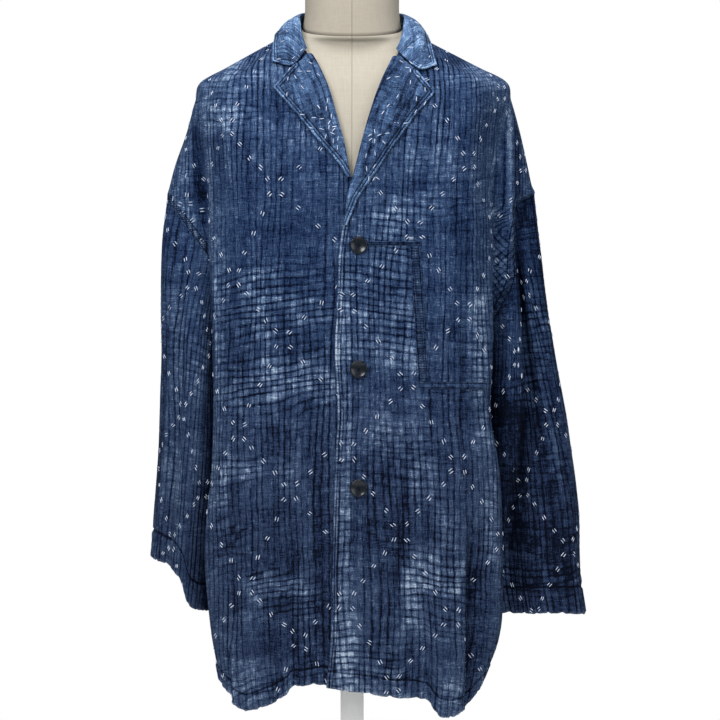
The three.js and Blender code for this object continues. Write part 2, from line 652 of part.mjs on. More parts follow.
/** The wall of one sleeve: a ring of revolution bent to the sleeve's sections. */
function sleeveWall(name) {
  const { side } = SLEEVES[name];
  const surface = (turn, along) => sleevePoint(name, turn, along);
  const last = SLEEVE_ALONG.length - 1;
  const outside = SLEEVE_ALONG.map((along, i) => new THREE.Vector2(2, i));
  const inside = SLEEVE_ALONG.map((along, i) => new THREE.Vector2(1, last - i));
  const turns = sleeveTurns(name);
  const ring = new THREE.LatheGeometry([...outside, ...inside, outside[0].clone()], turns.length);
  const spots = ring.attributes.position;
  for (let k = 0; k < spots.count; k += 1) {
    const radius = Math.round(Math.hypot(spots.getX(k), spots.getZ(k)));
    const turned = Math.atan2(spots.getX(k), spots.getZ(k)) / (2 * Math.PI);
    const turn = turns[(Math.round(turned * turns.length) + turns.length) % turns.length];
    const along = SLEEVE_ALONG[Math.round(spots.getY(k))];
    const point = surface(turn, along);
    const inner = THREE.MathUtils.clamp(along, ALONG_ENDS, 1 - ALONG_ENDS);
    const own = normalOf(surface, turn, inner, TURN_STEP, ALONG_STEP);
    if (own.dot(point.clone().setZ(0).sub(sleeveMiddle(name, along))) < 0) own.negate();
    const hole = armholeDirection(name, armholePoint(name, turn));
    const direction = hole.lerp(own, smooth(0, SLEEVE_REACH, along)).normalize();
    if (along === 0) {
      const toUnderarm = 1 - Math.abs(2 * turn - 1);
      const step = mix(...SLEEVE_INSET, toUnderarm ** 2);
      point.addScaledVector(surface(turn, 2 * ALONG_ENDS).sub(point).normalize(), step);
    }
    if (radius === 1) point.addScaledVector(direction, -CLOTH);
    spots.setXYZ(k, point.x * side, point.y, point.z + HEM_LIFT);
  }
  return closedBody(ring);
}

/** The middle of a sleeve's section, at height 0. */
function sleeveMiddle(name, along) {
  const { rows } = SLEEVES[name];
  const x = (column(rows, "along", "inner_x", along) + column(rows, "along", "outer_x", along)) / 2;
  return new THREE.Vector3(x, 0, 0);
}

// ---------------------------------------------------------------- collar
// Four points of the collar at each place round the neck: the seam at its foot, the crest where
// it folds, the swell of its fall, and the fall's edge. The first row is the notched front end.
const COLLAR_COLUMNS = "along seam_x seam_y seam_z crest_x crest_y crest_z "
  + "swell_x swell_y swell_z edge_x edge_y edge_z";
const COLLAR_RIGHT = table(COLLAR_COLUMNS, [
  [0, 54, -44.5, 802, 55.5, -54, 799.5, 71, -75, 780.5, 96, -67.5, 785],
  [0.16, 62.6, -25.5, 814, 61, -38, 822, 80, -51, 812, 96, -42, 803],
  [0.28, 68, -12, 820, 62.3, -20, 835, 80.5, -25, 827, 95, -20, 813],
  [0.42, 75.5, 0, 821.5, 62.5, 1, 843, 79, 3, 837, 93, 4, 821],
  [0.72, 52.4, 42.6, 818, 45, 46, 849, 58, 62, 836, 68, 70, 806],
  [1, 0, 58, 815, 0, 64, 850, 0, 81, 836, 0, 92, 799],
]);
const COLLAR_LEFT = table(COLLAR_COLUMNS, [
  [0, 53, -45.5, 801.5, 55.5, -55.5, 797, 80, -80, 775.5, 102, -71, 781],
  [0.16, 62.6, -25.5, 813.5, 61, -38, 821, 81, -51, 811, 97, -43, 801],
  [0.28, 68, -12, 820, 62.3, -20, 834, 80.5, -25, 827, 95.5, -20, 812],
  [0.42, 75.5, 0, 821.5, 62.5, 1, 842, 78, 3, 838, 92, 4, 821],
  [0.72, 52.4, 42.6, 818, 45, 46, 849, 58, 62, 836, 68, 70, 806],
  [1, 0, 58, 815, 0, 64, 850, 0, 81, 836, 0, 92, 799],
]);
const COLLAR_STATIONS = ["seam", "crest", "swell", "edge"];

/** One half of the collar as a net. */
function collarNet(rows) {
  return rows.map((row) => COLLAR_STATIONS.map(
    (station) => new THREE.Vector3(row[`${station}_x`], row[`${station}_y`], row[`${station}_z`]),
  ));
}

/** A whole collar net, from the right end round the back to the left end. */
function wholeCollar() {
  const flip = (vector) => new THREE.Vector3(-vector.x, vector.y, vector.z);
  const right = collarNet(COLLAR_RIGHT).map((row) => row.map(flip));
  const left = collarNet(COLLAR_LEFT).reverse().slice(1);
  const levels = [
    ...COLLAR_RIGHT.map((row) => row.along - 1),
    ...[...COLLAR_LEFT].reverse().slice(1).map((row) => 1 - row.along),
  ];
  const net = [...right, ...left];
  return { net, levels, stations: stationKnots(net) };
}

const COLLAR = wholeCollar();
const COLLAR_AROUND = 24;
const COLLAR_STEPS = [2, 3, 2];
const ROUND_STEP = 0.01;       // step round the collar, for its wall's direction

/** The folded wall of the collar. Its thickness lies between its two leaves. */
function collarWall() {
  const shares = stepsBetween(COLLAR.stations, COLLAR_STEPS);
  const surface = (u, v) => netPoint(COLLAR.net, COLLAR.stations, COLLAR.levels, u, v);
  const rounds = Array.from({ length: COLLAR_AROUND + 1 }, (_, j) => (2 * j) / COLLAR_AROUND - 1);
  const points = shares.map((u) => rounds.map((v) => surface(u, v)));
  const directions = shares.map((u) => rounds.map((v) => {
    const at = THREE.MathUtils.clamp(u, TINY, 1 - TINY);
    const round = THREE.MathUtils.clamp(v, ROUND_STEP - 1, 1 - ROUND_STEP);
    return normalOf(surface, at, round, TINY, ROUND_STEP);
  }));
  const middle = directions[shares.length - 1][COLLAR_AROUND / 2];
  if (middle.y < 0) directions.forEach((line) => line.forEach((direction) => direction.negate()));
  return wallFrom(points, directions, CLOTH, 1);
}

// ---------------------------------------------------------------- lapels
// The turned-out part of each facing, from its lowest point to the gorge: where its break line
// and its outer edge lie. The edge turns at the lapel's tip and at the notch.
const LAPELS = {
  right: table("level break_x edge_x", [
    [643, 1.5, 6], [658, 5.5, 15], [693, 15, 45], [722, 23, 69], [751, 31.5, 94.5], [777, 43, 71.5],
    [784, 46.5, 61], [790, 50, 54.5],
  ]),
  left: table("level break_x edge_x", [
    [586, -8.5, -5.5], [617, -3, 7], [645, 5, 26], [675, 12.5, 46], [717, 24, 76], [745, 33, 99.5],
    [770, 43.5, 79], [779, 48, 68.5], [787, 51.5, 58.5],
  ]),
};
const LAPEL_ACROSS = [0, 0.18, 0.45, 0.72, 1];
const LAPEL_GAP = 0.9;         // the lapel's back to the front beneath it

/** A wall that lies on a front: spots are rows of outward x, level and height above the cloth. */
function layOn(front, spots, wall) {
  const surface = (u, level) => frontPoint(front, u, level);
  const points = [];
  const directions = [];
  for (const line of spots) {
    const shares = line.map(({ x, level }) => frontShare(front, x, level));
    const outs = line.map(({ level }, i) => (
      normalOf(surface, Math.max(shares[i], TINY), level, TINY, RISE)
    ));
    directions.push(outs);
    points.push(line.map(({ level, rise }, i) => (
      surface(shares[i], level).addScaledVector(outs[i], rise)
    )));
  }
  return wallFrom(points, directions, wall, front.side);
}

/** The wall of one lapel. */
function lapelWall(name) {
  const rows = LAPELS[name];
  const levels = [];
  rows.forEach((row, i) => {
    if (i) levels.push(mix(rows[i - 1].level, row.level, 0.5));
    levels.push(row.level);
  });
  const spots = LAPEL_ACROSS.map((share) => levels.map((level) => {
    const foot = column(rows, "level", "break_x", level) + SEAM_INSET;
    const edge = straight(rows, "level", "edge_x", level);
    const x = mix(foot, edge, share);
    const roll = LAPEL_ROLL * (1 - smooth(0, ROLL_WIDTH, x - foot));
    return { x, level, rise: CLOTH + LAPEL_GAP + roll };
  }));
  return layOn(FRONTS[name], spots, CLOTH);
}

// ---------------------------------------------------------------- bands and pocket mouth
// Strips sewn on the wearer's left front: their middle line and half their width.
const STRIP_GAP = 0.7;
const STRIPS = {
  band_chest: { from: [74.5, 561], to: [85, 401], half: 5.8, upright: true, steps: 6 },
  band_side: { from: [80, 395.8], to: [160, 395.2], half: 4.2, upright: false, steps: 7 },
  pocket_mouth: { from: [20, 564], to: [81, 564.6], half: 2.4, upright: false, steps: 6 },
};

/** The wall of one strip on the left front. */
function stripWall({ from, to, half, upright, steps }) {
  const across = [-half, 0, half];
  const spots = across.map((off) => Array.from({ length: steps + 1 }, (_, k) => {
    const along = k / steps;
    const x = mix(from[0], to[0], along) + (upright ? off : 0);
    const level = mix(from[1], to[1], along) + (upright ? 0 : off);
    return { x, level, rise: BAND_WALL + STRIP_GAP };
  }));
  return layOn(FRONTS.left, spots, BAND_WALL);
}

// ---------------------------------------------------------------- buttons
/** A turned body standing along Z, from a profile of radius and height. */
function turned(profile, sides) {
  const body = new THREE.LatheGeometry(profile.map(([x, y]) => new THREE.Vector2(x, y)), sides);
  body.rotateX(Math.PI / 2);
  return closedBody(body);
}

/** A dished sew-through button, with its face along +Z. */
function buttonBody() {
  const r = BUTTON_RADIUS;
  const t = BUTTON_THICK;
  const rim = r - BUTTON_RIM;
  const face = t - BUTTON_DISH;
  return turned([
    [0, 0], [r - BUTTON_FOOT[0], 0], [r, BUTTON_FOOT[1]],
    [r, t - BUTTON_EDGE[1]], [r - BUTTON_EDGE[0], t], [rim, t],
    [rim - BUTTON_SLOPE, face], [0, face],
  ], BUTTON_SIDES);
}

/** Stands a button on the left front at a level, facing out of the cloth. */
function placeButton(mesh, level) {
  const front = FRONTS.left;
  const u = frontShare(front, BUTTON_X, level);
  const surface = (a, b) => frontPoint(front, a, b);
  const out = normalOf(surface, u, level, TINY, RISE);
  const spot = surface(u, level).addScaledVector(out, LAY_GAP);
  mesh.position.set(spot.x, spot.y, spot.z + HEM_LIFT);
  mesh.quaternion.setFromUnitVectors(new THREE.Vector3(0, 0, 1), out);
}

// ---------------------------------------------------------------- dress form
// Half width, and reach to the front and back, at each height. tilt slopes a row along y.
const FORM_COLUMNS = "z half_x front_y back_y tilt";
const TORSO_ROWS = table(FORM_COLUMNS, [
  [150, 122, -88, 84, 0],
  [154, 131, -96, 92, 0],
  [166, 137, -103, 99, 0],
  [230, 141, -107, 104, 0],
  [300, 138, -104, 99, 0],
  [380, 133, -101, 93, 0],
  [450, 137, -108, 97, 0],
  [520, 147, -117, 107, 0],
  [580, 156, -120, 114, 0],
  [640, 162, -116, 116, 0],
  [700, 168, -104, 111, 0],
  [740, 171, -88, 101, 0],
  [763, 169, -74, 85, 0],
  [777, 152.3, -61, 74, 0],
  [797, 112.5, -45, 60, 0],
  [804, 94, -42, 58, 0],
  [810, 82, -41, 54, 0.04],
  [815, 71, -43, 52, 0.1],
  [819, 64.5, -46, 51.5, 0.16],
  [826, 60, -49, 52, 0.22],
]);
const NECK_ROWS = table(FORM_COLUMNS, [
  [826, 60, -49, 52, 0.22],
  [842, 57.5, -49, 54, 0.18],
  [872, 57, -49, 55, 0.1],
  [886, 56.5, -48, 56, 0.06],
  [891, 54, -46, 53, 0.06],
  [894, 48, -40, 47, 0.06],
]);
const FORM_AROUND = 40;
const FORM_SQUARE = 0.9;       // 1 is an ellipse; less squares the section off

/** A closed loft over rows of rounded sections. */
function formBody(rows, lift) {
  const profile = [
    new THREE.Vector2(0, 0),
    ...rows.map((row, i) => new THREE.Vector2(1, i)),
    new THREE.Vector2(0, rows.length - 1),
  ];
  const body = new THREE.LatheGeometry(profile, FORM_AROUND);
  const spots = body.attributes.position;
  const power = (value) => Math.sign(value) * Math.abs(value) ** FORM_SQUARE;
  for (let k = 0; k < spots.count; k += 1) {
    const radius = Math.round(Math.hypot(spots.getX(k), spots.getZ(k)));
    const angle = Math.atan2(spots.getX(k), spots.getZ(k));
    const row = rows[Math.round(spots.getY(k))];
    const reach = Math.cos(angle) > 0 ? -row.front_y : row.back_y;
    const x = radius * row.half_x * power(Math.sin(angle));
    const y = -radius * reach * power(Math.cos(angle));
    spots.setXYZ(k, x, y, row.z + lift + row.tilt * y + HEM_LIFT);
  }
  return closedBody(body);
}

/** The pole, from the base to the underside of the torso. */
function poleBody() {
  const foot = BASE_THICK + POLE_GAP;
  const top = TORSO_ROWS[0].z + HEM_LIFT - POLE_GAP;
  return turned([[0, foot], [POLE_RADIUS, foot], [POLE_RADIUS, top], [0, top]], POLE_SIDES);
}

/** The round base, flat underneath, with its top edge eased. */
function baseBody() {
  const r = BASE_RADIUS;
  const t = BASE_THICK;
  const profile = [[0, 0], [r, 0], [r, t - BASE_BEVEL], [r - BASE_BEVEL, t], [0, t]];
  return turned(profile, BASE_SIDES);
}

// ---------------------------------------------------------------- the object
const INDIGO = { color: "#2f4163", roughness: 0.92, metalness: 0 };
const FADED_INDIGO = { color: "#486891", roughness: 0.92, metalness: 0 };
const LINEN = { color: "#d8d1bf", roughness: 0.95, metalness: 0 };
const NECK_LINEN = { color: "#bfb8a6", roughness: 0.95, metalness: 0 };
const DARK_BUTTON = { color: "#1e242c", roughness: 0.38, metalness: 0 };
const WHITE_PAINT = { color: "#e9e9e6", roughness: 0.45, metalness: 0 };

const object = new THREE.Group();

/** Adds one named piece to the object. */
function add(name, geometry, finish) {
  const mesh = new THREE.Mesh(geometry, new THREE.MeshStandardMaterial(finish));
  mesh.name = name;
  object.add(mesh);
  return mesh;
}

add("front_right", frontWall("right"), INDIGO);
add("front_left", frontWall("left"), INDIGO);
add("back", backWall(), INDIGO);
add("sleeve_right", sleeveWall("right"), INDIGO);
add("sleeve_left", sleeveWall("left"), INDIGO);
add("collar", collarWall(), FADED_INDIGO);
add("lapel_right", lapelWall("right"), FADED_INDIGO);
add("lapel_left", lapelWall("left"), FADED_INDIGO);
for (const [name, strip] of Object.entries(STRIPS)) add(name, stripWall(strip), INDIGO);
["button_top", "button_middle", "button_low"].forEach((name, i) => {
  placeButton(add(name, buttonBody(), DARK_BUTTON), BUTTON_LEVELS[i]);
});
add("form_torso", formBody(TORSO_ROWS, 0), LINEN);
add("form_neck", formBody(NECK_ROWS, NECK_GAP), NECK_LINEN);
add("pole", poleBody(), WHITE_PAINT);
add("base", baseBody(), WHITE_PAINT);

export default object;
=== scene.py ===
"""A washed indigo sashiko shirt jacket, buttoned on a limbless linen dress form.

The jacket faces -Y, so its wearer's left is +X. Sizes in tables are millimetres. Heights in
them are measured from the lowest point of the hem, and x is measured outwards from the middle.
Meshes are made in metres, with the floor at zero.
"""

import logging
import math
from dataclasses import dataclass, field
from enum import Enum
from typing import Any, Callable, Sequence

import bmesh
import bpy
import numpy as np
from mathutils import Matrix, Vector
from mathutils.kdtree import KDTree


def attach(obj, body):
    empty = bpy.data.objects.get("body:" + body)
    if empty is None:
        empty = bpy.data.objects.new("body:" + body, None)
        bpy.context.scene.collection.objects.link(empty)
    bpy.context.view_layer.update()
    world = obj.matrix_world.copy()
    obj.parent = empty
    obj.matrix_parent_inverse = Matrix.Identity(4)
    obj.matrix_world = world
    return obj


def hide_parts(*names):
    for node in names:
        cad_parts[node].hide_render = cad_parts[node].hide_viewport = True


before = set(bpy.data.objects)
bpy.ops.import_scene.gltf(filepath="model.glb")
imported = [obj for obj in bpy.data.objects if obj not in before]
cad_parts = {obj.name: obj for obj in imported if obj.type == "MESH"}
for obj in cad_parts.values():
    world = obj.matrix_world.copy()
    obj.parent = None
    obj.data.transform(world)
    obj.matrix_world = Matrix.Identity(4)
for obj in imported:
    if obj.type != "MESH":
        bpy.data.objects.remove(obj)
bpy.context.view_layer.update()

LOG = logging.getLogger("jacket")
Array = np.ndarray
Row = dict[str, float]
Rows = Sequence[Sequence[float]]
MM = 0.001
HEM_LIFT = 150.0
CLOTH = 2.0
SEAM_INSET = 0.03
FAR = 60.0


class Side(Enum):
    """The wearer's two sides, with the sign of x on each."""

    RIGHT = -1
    LEFT = 1

    @property
    def key(self) -> str:
        """The side's name in piece names."""
        return self.name.lower()


# ------------------------------------------------------------------ curves and tables
class Table:
    """Rows of numbers under named columns."""

    def __init__(self, names: str, rows: Rows) -> None:
        """Keep each column under its name.

        Args:
            names: the column names, with spaces between.
            rows: the rows, each as long as the names.
        """
        self.columns = dict(zip(names.split(), np.array(rows, float).T))
        self.count = len(rows)

    def __getitem__(self, name: str) -> Array:
        """One column."""
        return self.columns[name]

    def rows(self) -> list[Row]:
        """Each row as a dictionary."""
        return [{k: float(v[i]) for k, v in self.columns.items()} for i in range(self.count)]

    def read(self, key: str, name: str, at: Any) -> Array:
        """Read a column on a smooth curve.

        Args:
            key: the column that rises down the table.
            name: the column to read.
            at: values of the key.

        Returns:
            The column's values there.
        """
        places = np.atleast_1d(np.asarray(at, float))
        values = curve_weights(self[key], places.ravel()) @ self[name]
        return values.reshape(places.shape)


def mix(a: Any, b: Any, t: Any) -> Any:
    """The value a share t of the way from a to b."""
    return a + (b - a) * t


def smooth(a: float, b: float, t: Any) -> Any:
    """An eased step from 0 at a to 1 at b."""
    s = np.clip((np.asarray(t, float) - a) / (b - a), 0.0, 1.0)
    return s * s * (3.0 - 2.0 * s)


def unit(vectors: Array) -> Array:
    """Vectors along the last axis, made one long."""
    return vectors / np.maximum(np.linalg.norm(vectors, axis=-1, keepdims=True), 1e-12)


def curve_weights(knots: Sequence[float], places: Array) -> Array:
    """Weights of the values at rising knots, for a smooth curve through them.

    Args:
        knots: where the values stand.
        places: where the curve is read.

    Returns:
        One row of weights for each place.
    """
    k = np.asarray(knots, float)
    count = len(k)
    tangent = np.zeros((count, count))
    for i in range(count):
        low, high = max(i - 1, 0), min(i + 1, count - 1)
        before, after = k[i] - k[low], k[high] - k[i]
        whole = before + after
        if before:
            share = (after or whole) / (whole * before)
            tangent[i, i] += share
            tangent[i, low] -= share
        if after:
            share = (before or whole) / (whole * after)
            tangent[i, high] += share
            tangent[i, i] -= share
    i = np.clip(np.searchsorted(k, places, side="right") - 1, 0, count - 2)
    span = k[i + 1] - k[i]
    s = (places - k[i]) / span
    weights = np.zeros((len(places), count))
    rows = np.arange(len(places))
    weights[rows, i] = (1 + 2 * s) * (1 - s) ** 2
    weights[rows, i + 1] = s * s * (3 - 2 * s)
    weights += (s * (1 - s) ** 2 * span)[:, None] * tangent[i]
    weights += (s * s * (s - 1) * span)[:, None] * tangent[i + 1]
    return weights


@dataclass(frozen=True)
class Net:
    """A net of points, a row for each level and a column for each station."""

    points: Array
    levels: Array

    @property
    def stations(self) -> Array:
        """Mean share of the net's width at which each column lies.

        Returns:
            A share for each column, from 0 to 1.
        """
        run = np.cumsum(np.linalg.norm(np.diff(self.points, axis=1), axis=2), axis=1)
        run = np.hstack([np.zeros((len(run), 1)), run])
        return (run / run[:, -1:]).mean(axis=0)

    def spots(self, share: Any, level: Any) -> Array:
        """Points of the smooth surface through the net.

        Args:
            share: shares of the width.
            level: levels, of the same shape or one that spreads to it.

        Returns:
            Points, with the same shape and three coordinates.
        """
        u, v = np.broadcast_arrays(np.asarray(share, float), np.asarray(level, float))
        across = curve_weights(self.stations, u.ravel())
        up = curve_weights(self.levels, v.ravel())
        rows = np.einsum("nl,kls->nks", across, self.points, optimize=True)
        return np.einsum("nk,nks->ns", up, rows).reshape(*u.shape, 3)


def drift(seed: int, u: Array, v: Array, span_u: float, span_v: float) -> Array:
    """Smooth seeded unevenness from -1 to 1.

    Args:
        seed: which unevenness.
        u: places one way, in millimetres.
        v: places the other way.
        span_u: how far apart its turns are one way.
        span_v: and the other way.

    Returns:
        Its value at each place.
    """
    values = np.random.default_rng(seed).uniform(-1, 1, (97, 89))
    x, y = u / span_u + 40.3, v / span_v + 37.7
    i, j = np.floor(x).astype(int), np.floor(y).astype(int)
    a, b = x - i, y - j
    a, b = a * a * (3 - 2 * a), b * b * (3 - 2 * b)
    at = lambda p, q: values[p % 97, q % 89]
    low = mix(at(i, j), at(i + 1, j), a)
    high = mix(at(i, j + 1), at(i + 1, j + 1), a)
    return mix(low, high, b)


def course(row: Row, level: Array, sway: float = 0.0,
           turns: float = 1.0) -> tuple[Array, Array]:
    """How far a fold has run at each height, and where its line lies there.

    Args:
        row: the fold, from top_u at its top to bottom_u at its bottom.
        level: heights.
        sway: how far the line sways.
        turns: how often it does.

    Returns:
        Shares of its length and places across.
    """
    along = (row["top"] - level) / (row["top"] - row["bottom"])
    return along, mix(row["top_u"], row["bottom_u"], along) + sway * np.sin(along * turns)


FOLD_COLUMNS = "top_u bottom_u top bottom width height"


def fold_height(folds: Table, x: Array, level: Array) -> Array:
    """Height of soft ridges and troughs that run down a panel.

    Args:
        folds: rows under FOLD_COLUMNS, troughs with a height below zero.
        x: places across.
        level: heights.

    Returns:
        Heights outwards, in millimetres.
    """
    total = np.zeros(np.broadcast(x, level).shape)
    for fold in folds.rows():
        along, centre = course(fold, level)
        across = (x - centre) / fold["width"]
        ridge = fold["height"] * smooth(0, 0.35, along) * np.exp(-across * across)
        total = total + np.where((along > 0) & (along < 2), ridge, 0.0)
    return total


# ------------------------------------------------------------------ panel shapes
FRONT_COLUMNS = (
    "level edge_x edge_y chest_y breast_y fold_x fold_y tuck_x tuck_y "
    "ridge_x ridge_y behind_x behind_y seam_x seam_y"
)
FRONT_STATIONS = ["edge", "chest", "breast", "fold", "tuck", "ridge", "behind", "seam"]
FRONT_SHARES = {"chest": 0.42, "breast": 0.8}
OVERLAP_LIFT = 3.4
OVERLAP_FADE = (24, 52)
LIFT_FADE = (648, 700)


@dataclass
class Front:
    """One front, from its edge or break line, over the chest and round to its seams."""

    side: Side
    rows: Table
    hem: Row
    folds: Table
    net: Net = field(init=False)

    def __post_init__(self) -> None:
        """Make the net from the tables."""
        net = []
        for i, row in enumerate(self.rows.rows()):
            line = []
            for station in FRONT_STATIONS:
                share = FRONT_SHARES.get(station)
                x = mix(row["edge_x"], row["fold_x"], share) if share else row[f"{station}_x"]
                z = self.hem[station] if i == 0 else row["level"]
                line.append((x, row[f"{station}_y"], z))
            net.append(line)
        self.net = Net(np.array(net, float), self.rows["level"])

    def spots(self, share: Any, level: Any) -> Array:
        """Points of the front's outside, x outwards.

        Args:
            share: shares of the width, from edge to seam.
            level: levels.

        Returns:
            The points.
        """
        points = self.net.spots(share, level)
        stations = self.net.stations
        facing = 1 - smooth(stations[2], stations[3], share)
        lift = 0.0
        if self.side is Side.LEFT:
            lift = OVERLAP_LIFT * (1 - smooth(*OVERLAP_FADE, points[..., 0]))
            lift = lift * (1 - smooth(*LIFT_FADE, level))
        points[..., 1] -= lift + facing * fold_height(self.folds, points[..., 0], level)
        return points

    def directions(self, share: Array, level: Array) -> tuple[Array, Array]:
        """Short steps across the front at places on it, and unit directions out of it.

        Args:
            share: shares of the width.
            level: levels.

        Returns:
            The steps and the directions.
        """
        across = self.spots(share + 1e-3, level) - self.spots(share - 1e-3, level)
        up = self.spots(share, level + 1) - self.spots(share, level - 1)
        return across, unit(np.cross(across, up))

    def share_at(self, x: Array, level: Array) -> Array:
        """Shares of the width that lie x outwards.

        Args:
            x: distances outwards.
            level: levels.

        Returns:
            The shares, found by halving.
        """
        low = np.zeros(np.shape(x))
        high = np.full(np.shape(x), self.net.stations[3])
        for _ in range(24):
            half = (low + high) / 2
            less = self.spots(half, level)[..., 0] < x
            low, high = np.where(less, half, low), np.where(less, high, half)
        return (low + high) / 2


FRONTS = {
    Side.RIGHT: Front(
        Side.RIGHT,
        Table(FRONT_COLUMNS, [
            [22, -20, -135, -133, -123, 157, -87, 158, -56, 156, -38, 155, -18, 156, 0],
            [100, -20, -134, -132, -123, 168, -84, 157, -52, 154, -36, 153, -18, 154, 0],
            [200, -20, -133, -131, -122, 176, -82, 157, -49, 152, -34, 150, -17, 151, 0],
            [300, -20, -132, -130, -121, 168, -80, 151, -46, 148, -32, 147, -16, 148, 0],
            [400, -20, -132, -130, -120, 166, -78, 149, -45, 146, -31, 146, -15, 147, 0],
            [450, -20, -132, -130, -119, 167, -77, 150, -46, 148, -31, 149, -15, 151, 0],
            [460, -20, -132, -130, -119, 167, -77, 150, -46, 149, -33, 150, -16, 152, 0],
            [475, -20, -132, -130, -119, 168, -76, 152, -46, 151, -36, 152, -26, 153, -16],
            [500, -20, -131, -130, -119, 169, -76, 155, -46, 154, -42, 155, -39, 157, -34],
            [548, -20, -130, -129, -118, 171, -74, 161, -47, 163, -48, 167, -49, 171, -49],
            [567, -20, -129, -128, -117, 172, -73, 163, -46, 172, -47, 180, -47, 186, -45],
            [600, -14, -128, -127, -115, 172, -70, 168, -44, 188, -40, 200, -35, 209, -28],
            [625, -7, -126, -125, -112, 173, -67, 172, -42, 195, -33, 213, -19, 224, 0],
            [635, -3, -125, -124, -111, 174, -65, 174, -41, 197, -31, 213, -17, 221.5, 0],
            [660, 6, -121, -120, -108, 178, -60, 178, -40, 199, -27, 209, -14, 215, 0],
            [700, 17, -111, -111, -101, 184, -50, 187, -35, 195, -22, 199, -11, 201, 0],
            [740, 28, -96, -96, -88, 180, -43, 185, -31, 188, -20, 189.5, -10, 190, 0],
            [764, 36, -82, -82, -75, 163, -42, 171, -30, 177, -19, 180.5, -10, 182, 0],
            [780, 44, -68, -68, -61, 133, -38, 142, -27, 148, -17, 151.5, -9, 153, 0],
            [800, 57, -47, -46, -40, 101, -26, 108, -19, 113, -12, 116, -6, 117, 0],
            [812, 66, -28, -26, -21, 83, -14, 89, -10, 92, -6, 94, -3, 95, 0],
            [820, 71, -12, -11, -9, 76, -6, 78, -4, 79, -2.5, 79.7, -1.2, 80, 0],
        ]),
        dict(edge=36, chest=33, breast=6, fold=38, tuck=56, ridge=60, behind=60, seam=60),
        Table(FOLD_COLUMNS, [[118, 128, 330, 20, 24, 7], [92, 78, 300, 20, 18, -6]]),
    ),
    Side.LEFT: Front(
        Side.LEFT,
        Table(FRONT_COLUMNS, [
            [22, -31, -135, -133, -123, 156, -87, 158, -58, 157, -38, 155, -18, 156, 0],
            [100, -25, -134, -132, -123, 177, -84, 163, -54, 157, -36, 154, -18, 154, 0],
            [180, -24, -133, -131, -122, 180, -83, 162, -51, 155, -35, 151, -17, 152, 0],
            [300, -20, -132, -130, -121, 175, -80, 157, -48, 150, -33, 147, -16, 148, 0],
            [360, -17, -132, -130, -120, 166, -79, 151, -46, 147, -32, 146, -15, 147, 0],
            [430, -20, -132, -130, -119, 168, -77, 151, -46, 149, -31, 150, -15, 152, 0],
            [440, -20, -132, -130, -119, 168, -77, 152, -46, 150, -33, 151, -16, 153, 0],
            [450, -20, -132, -130, -119, 169, -77, 154, -47, 153, -41, 155, -34, 158, -24],
            [467, -19, -132, -130, -119, 169, -76, 158, -49, 161, -48, 164, -47, 168, -45],
            [490, -18, -131, -130, -119, 169, -76, 164, -52, 171, -53, 176, -53, 181, -51],
            [518, -17, -131, -130, -118, 168, -75, 168, -52, 181, -55, 189, -55, 195, -53],
            [555, -15, -130, -129, -117, 167, -73, 169, -50, 185, -52, 192, -50, 196, -46],
            [595, -9, -128, -127, -115, 166, -71, 168, -50, 189, -51, 195, -44, 197, -36],
            [616, -5, -127, -126, -113, 165, -69, 167, -50, 191, -50, 197, -35, 202, -23],
            [627, -2, -126, -125, -112, 165, -68, 167, -50, 192, -48, 205, -24, 221, 0],
            [637, 1, -124, -124, -111, 166, -66, 168, -49, 192, -45, 205, -22, 218, 0],
            [660, 9, -121, -120, -108, 168, -62, 171, -46, 191, -40, 203, -18, 213, 0],
            [700, 18, -111, -111, -101, 173, -52, 178, -38, 190, -28, 199, -13, 204, 0],
            [740, 31, -96, -96, -88, 178, -44, 184, -32, 189, -21, 192, -10, 193, 0],
            [766, 41, -81, -81, -74, 164, -41, 172, -30, 178, -19, 182, -10, 183.5, 0],
            [780, 48, -68, -68, -61, 134, -38, 143, -27, 149, -17, 153, -9, 155, 0],
            [800, 58, -47, -46, -40, 100, -26, 107, -19, 112, -12, 115, -6, 116, 0],
            [812, 66, -28, -26, -21, 81, -14, 87, -10, 90, -6, 92, -3, 93, 0],
            [820, 71, -12, -11, -9, 75, -6, 77, -4, 78, -2.5, 78.7, -1.2, 79, 0],
        ]),
        dict(edge=32, chest=25, breast=2, fold=40, tuck=60, ridge=62, behind=60, seam=60),
        Table(FOLD_COLUMNS, [
            [112, 112, 320, 20, 22, 7], [140, 139, 230, 20, 9, -10], [70, 76, 260, 20, 18, -5],
        ]),
    ),
}

ARMHOLE = {Side.RIGHT: (460.0, 625.0), Side.LEFT: (440.0, 627.0)}
ARMHOLE_BACK = {
    Side.RIGHT: Table("level x y", [
        [460, 152, 0], [475, 153.5, 18], [500, 158, 36], [548, 173, 50], [567, 188, 46],
        [600, 210, 29], [625, 224, 0],
    ]),
    Side.LEFT: Table("level x y", [
        [440, 153, 0], [450, 157, 18], [467, 166, 36], [490, 176, 46], [518, 187, 51],
        [555, 201, 48], [595, 214, 31], [616, 219, 15], [627, 221, 0],
    ]),
}


def armhole_direction(side: Side, points: Array) -> Array:
    """Outward directions at armhole points, which both neighbours share.

    Args:
        side: the wearer's side.
        points: the points, x outwards.

    Returns:
        Unit directions.
    """
    under = ARMHOLE[side][0]
    foot = FRONTS[side].net.spots(1.0, under)[0]
    centre = np.stack([
        mix(foot, points[..., 0], 0.5),
        np.zeros(points.shape[:-1]),
        under + 25 + 0.6 * (points[..., 2] - under),
    ], axis=-1)
    return unit(points - centre)


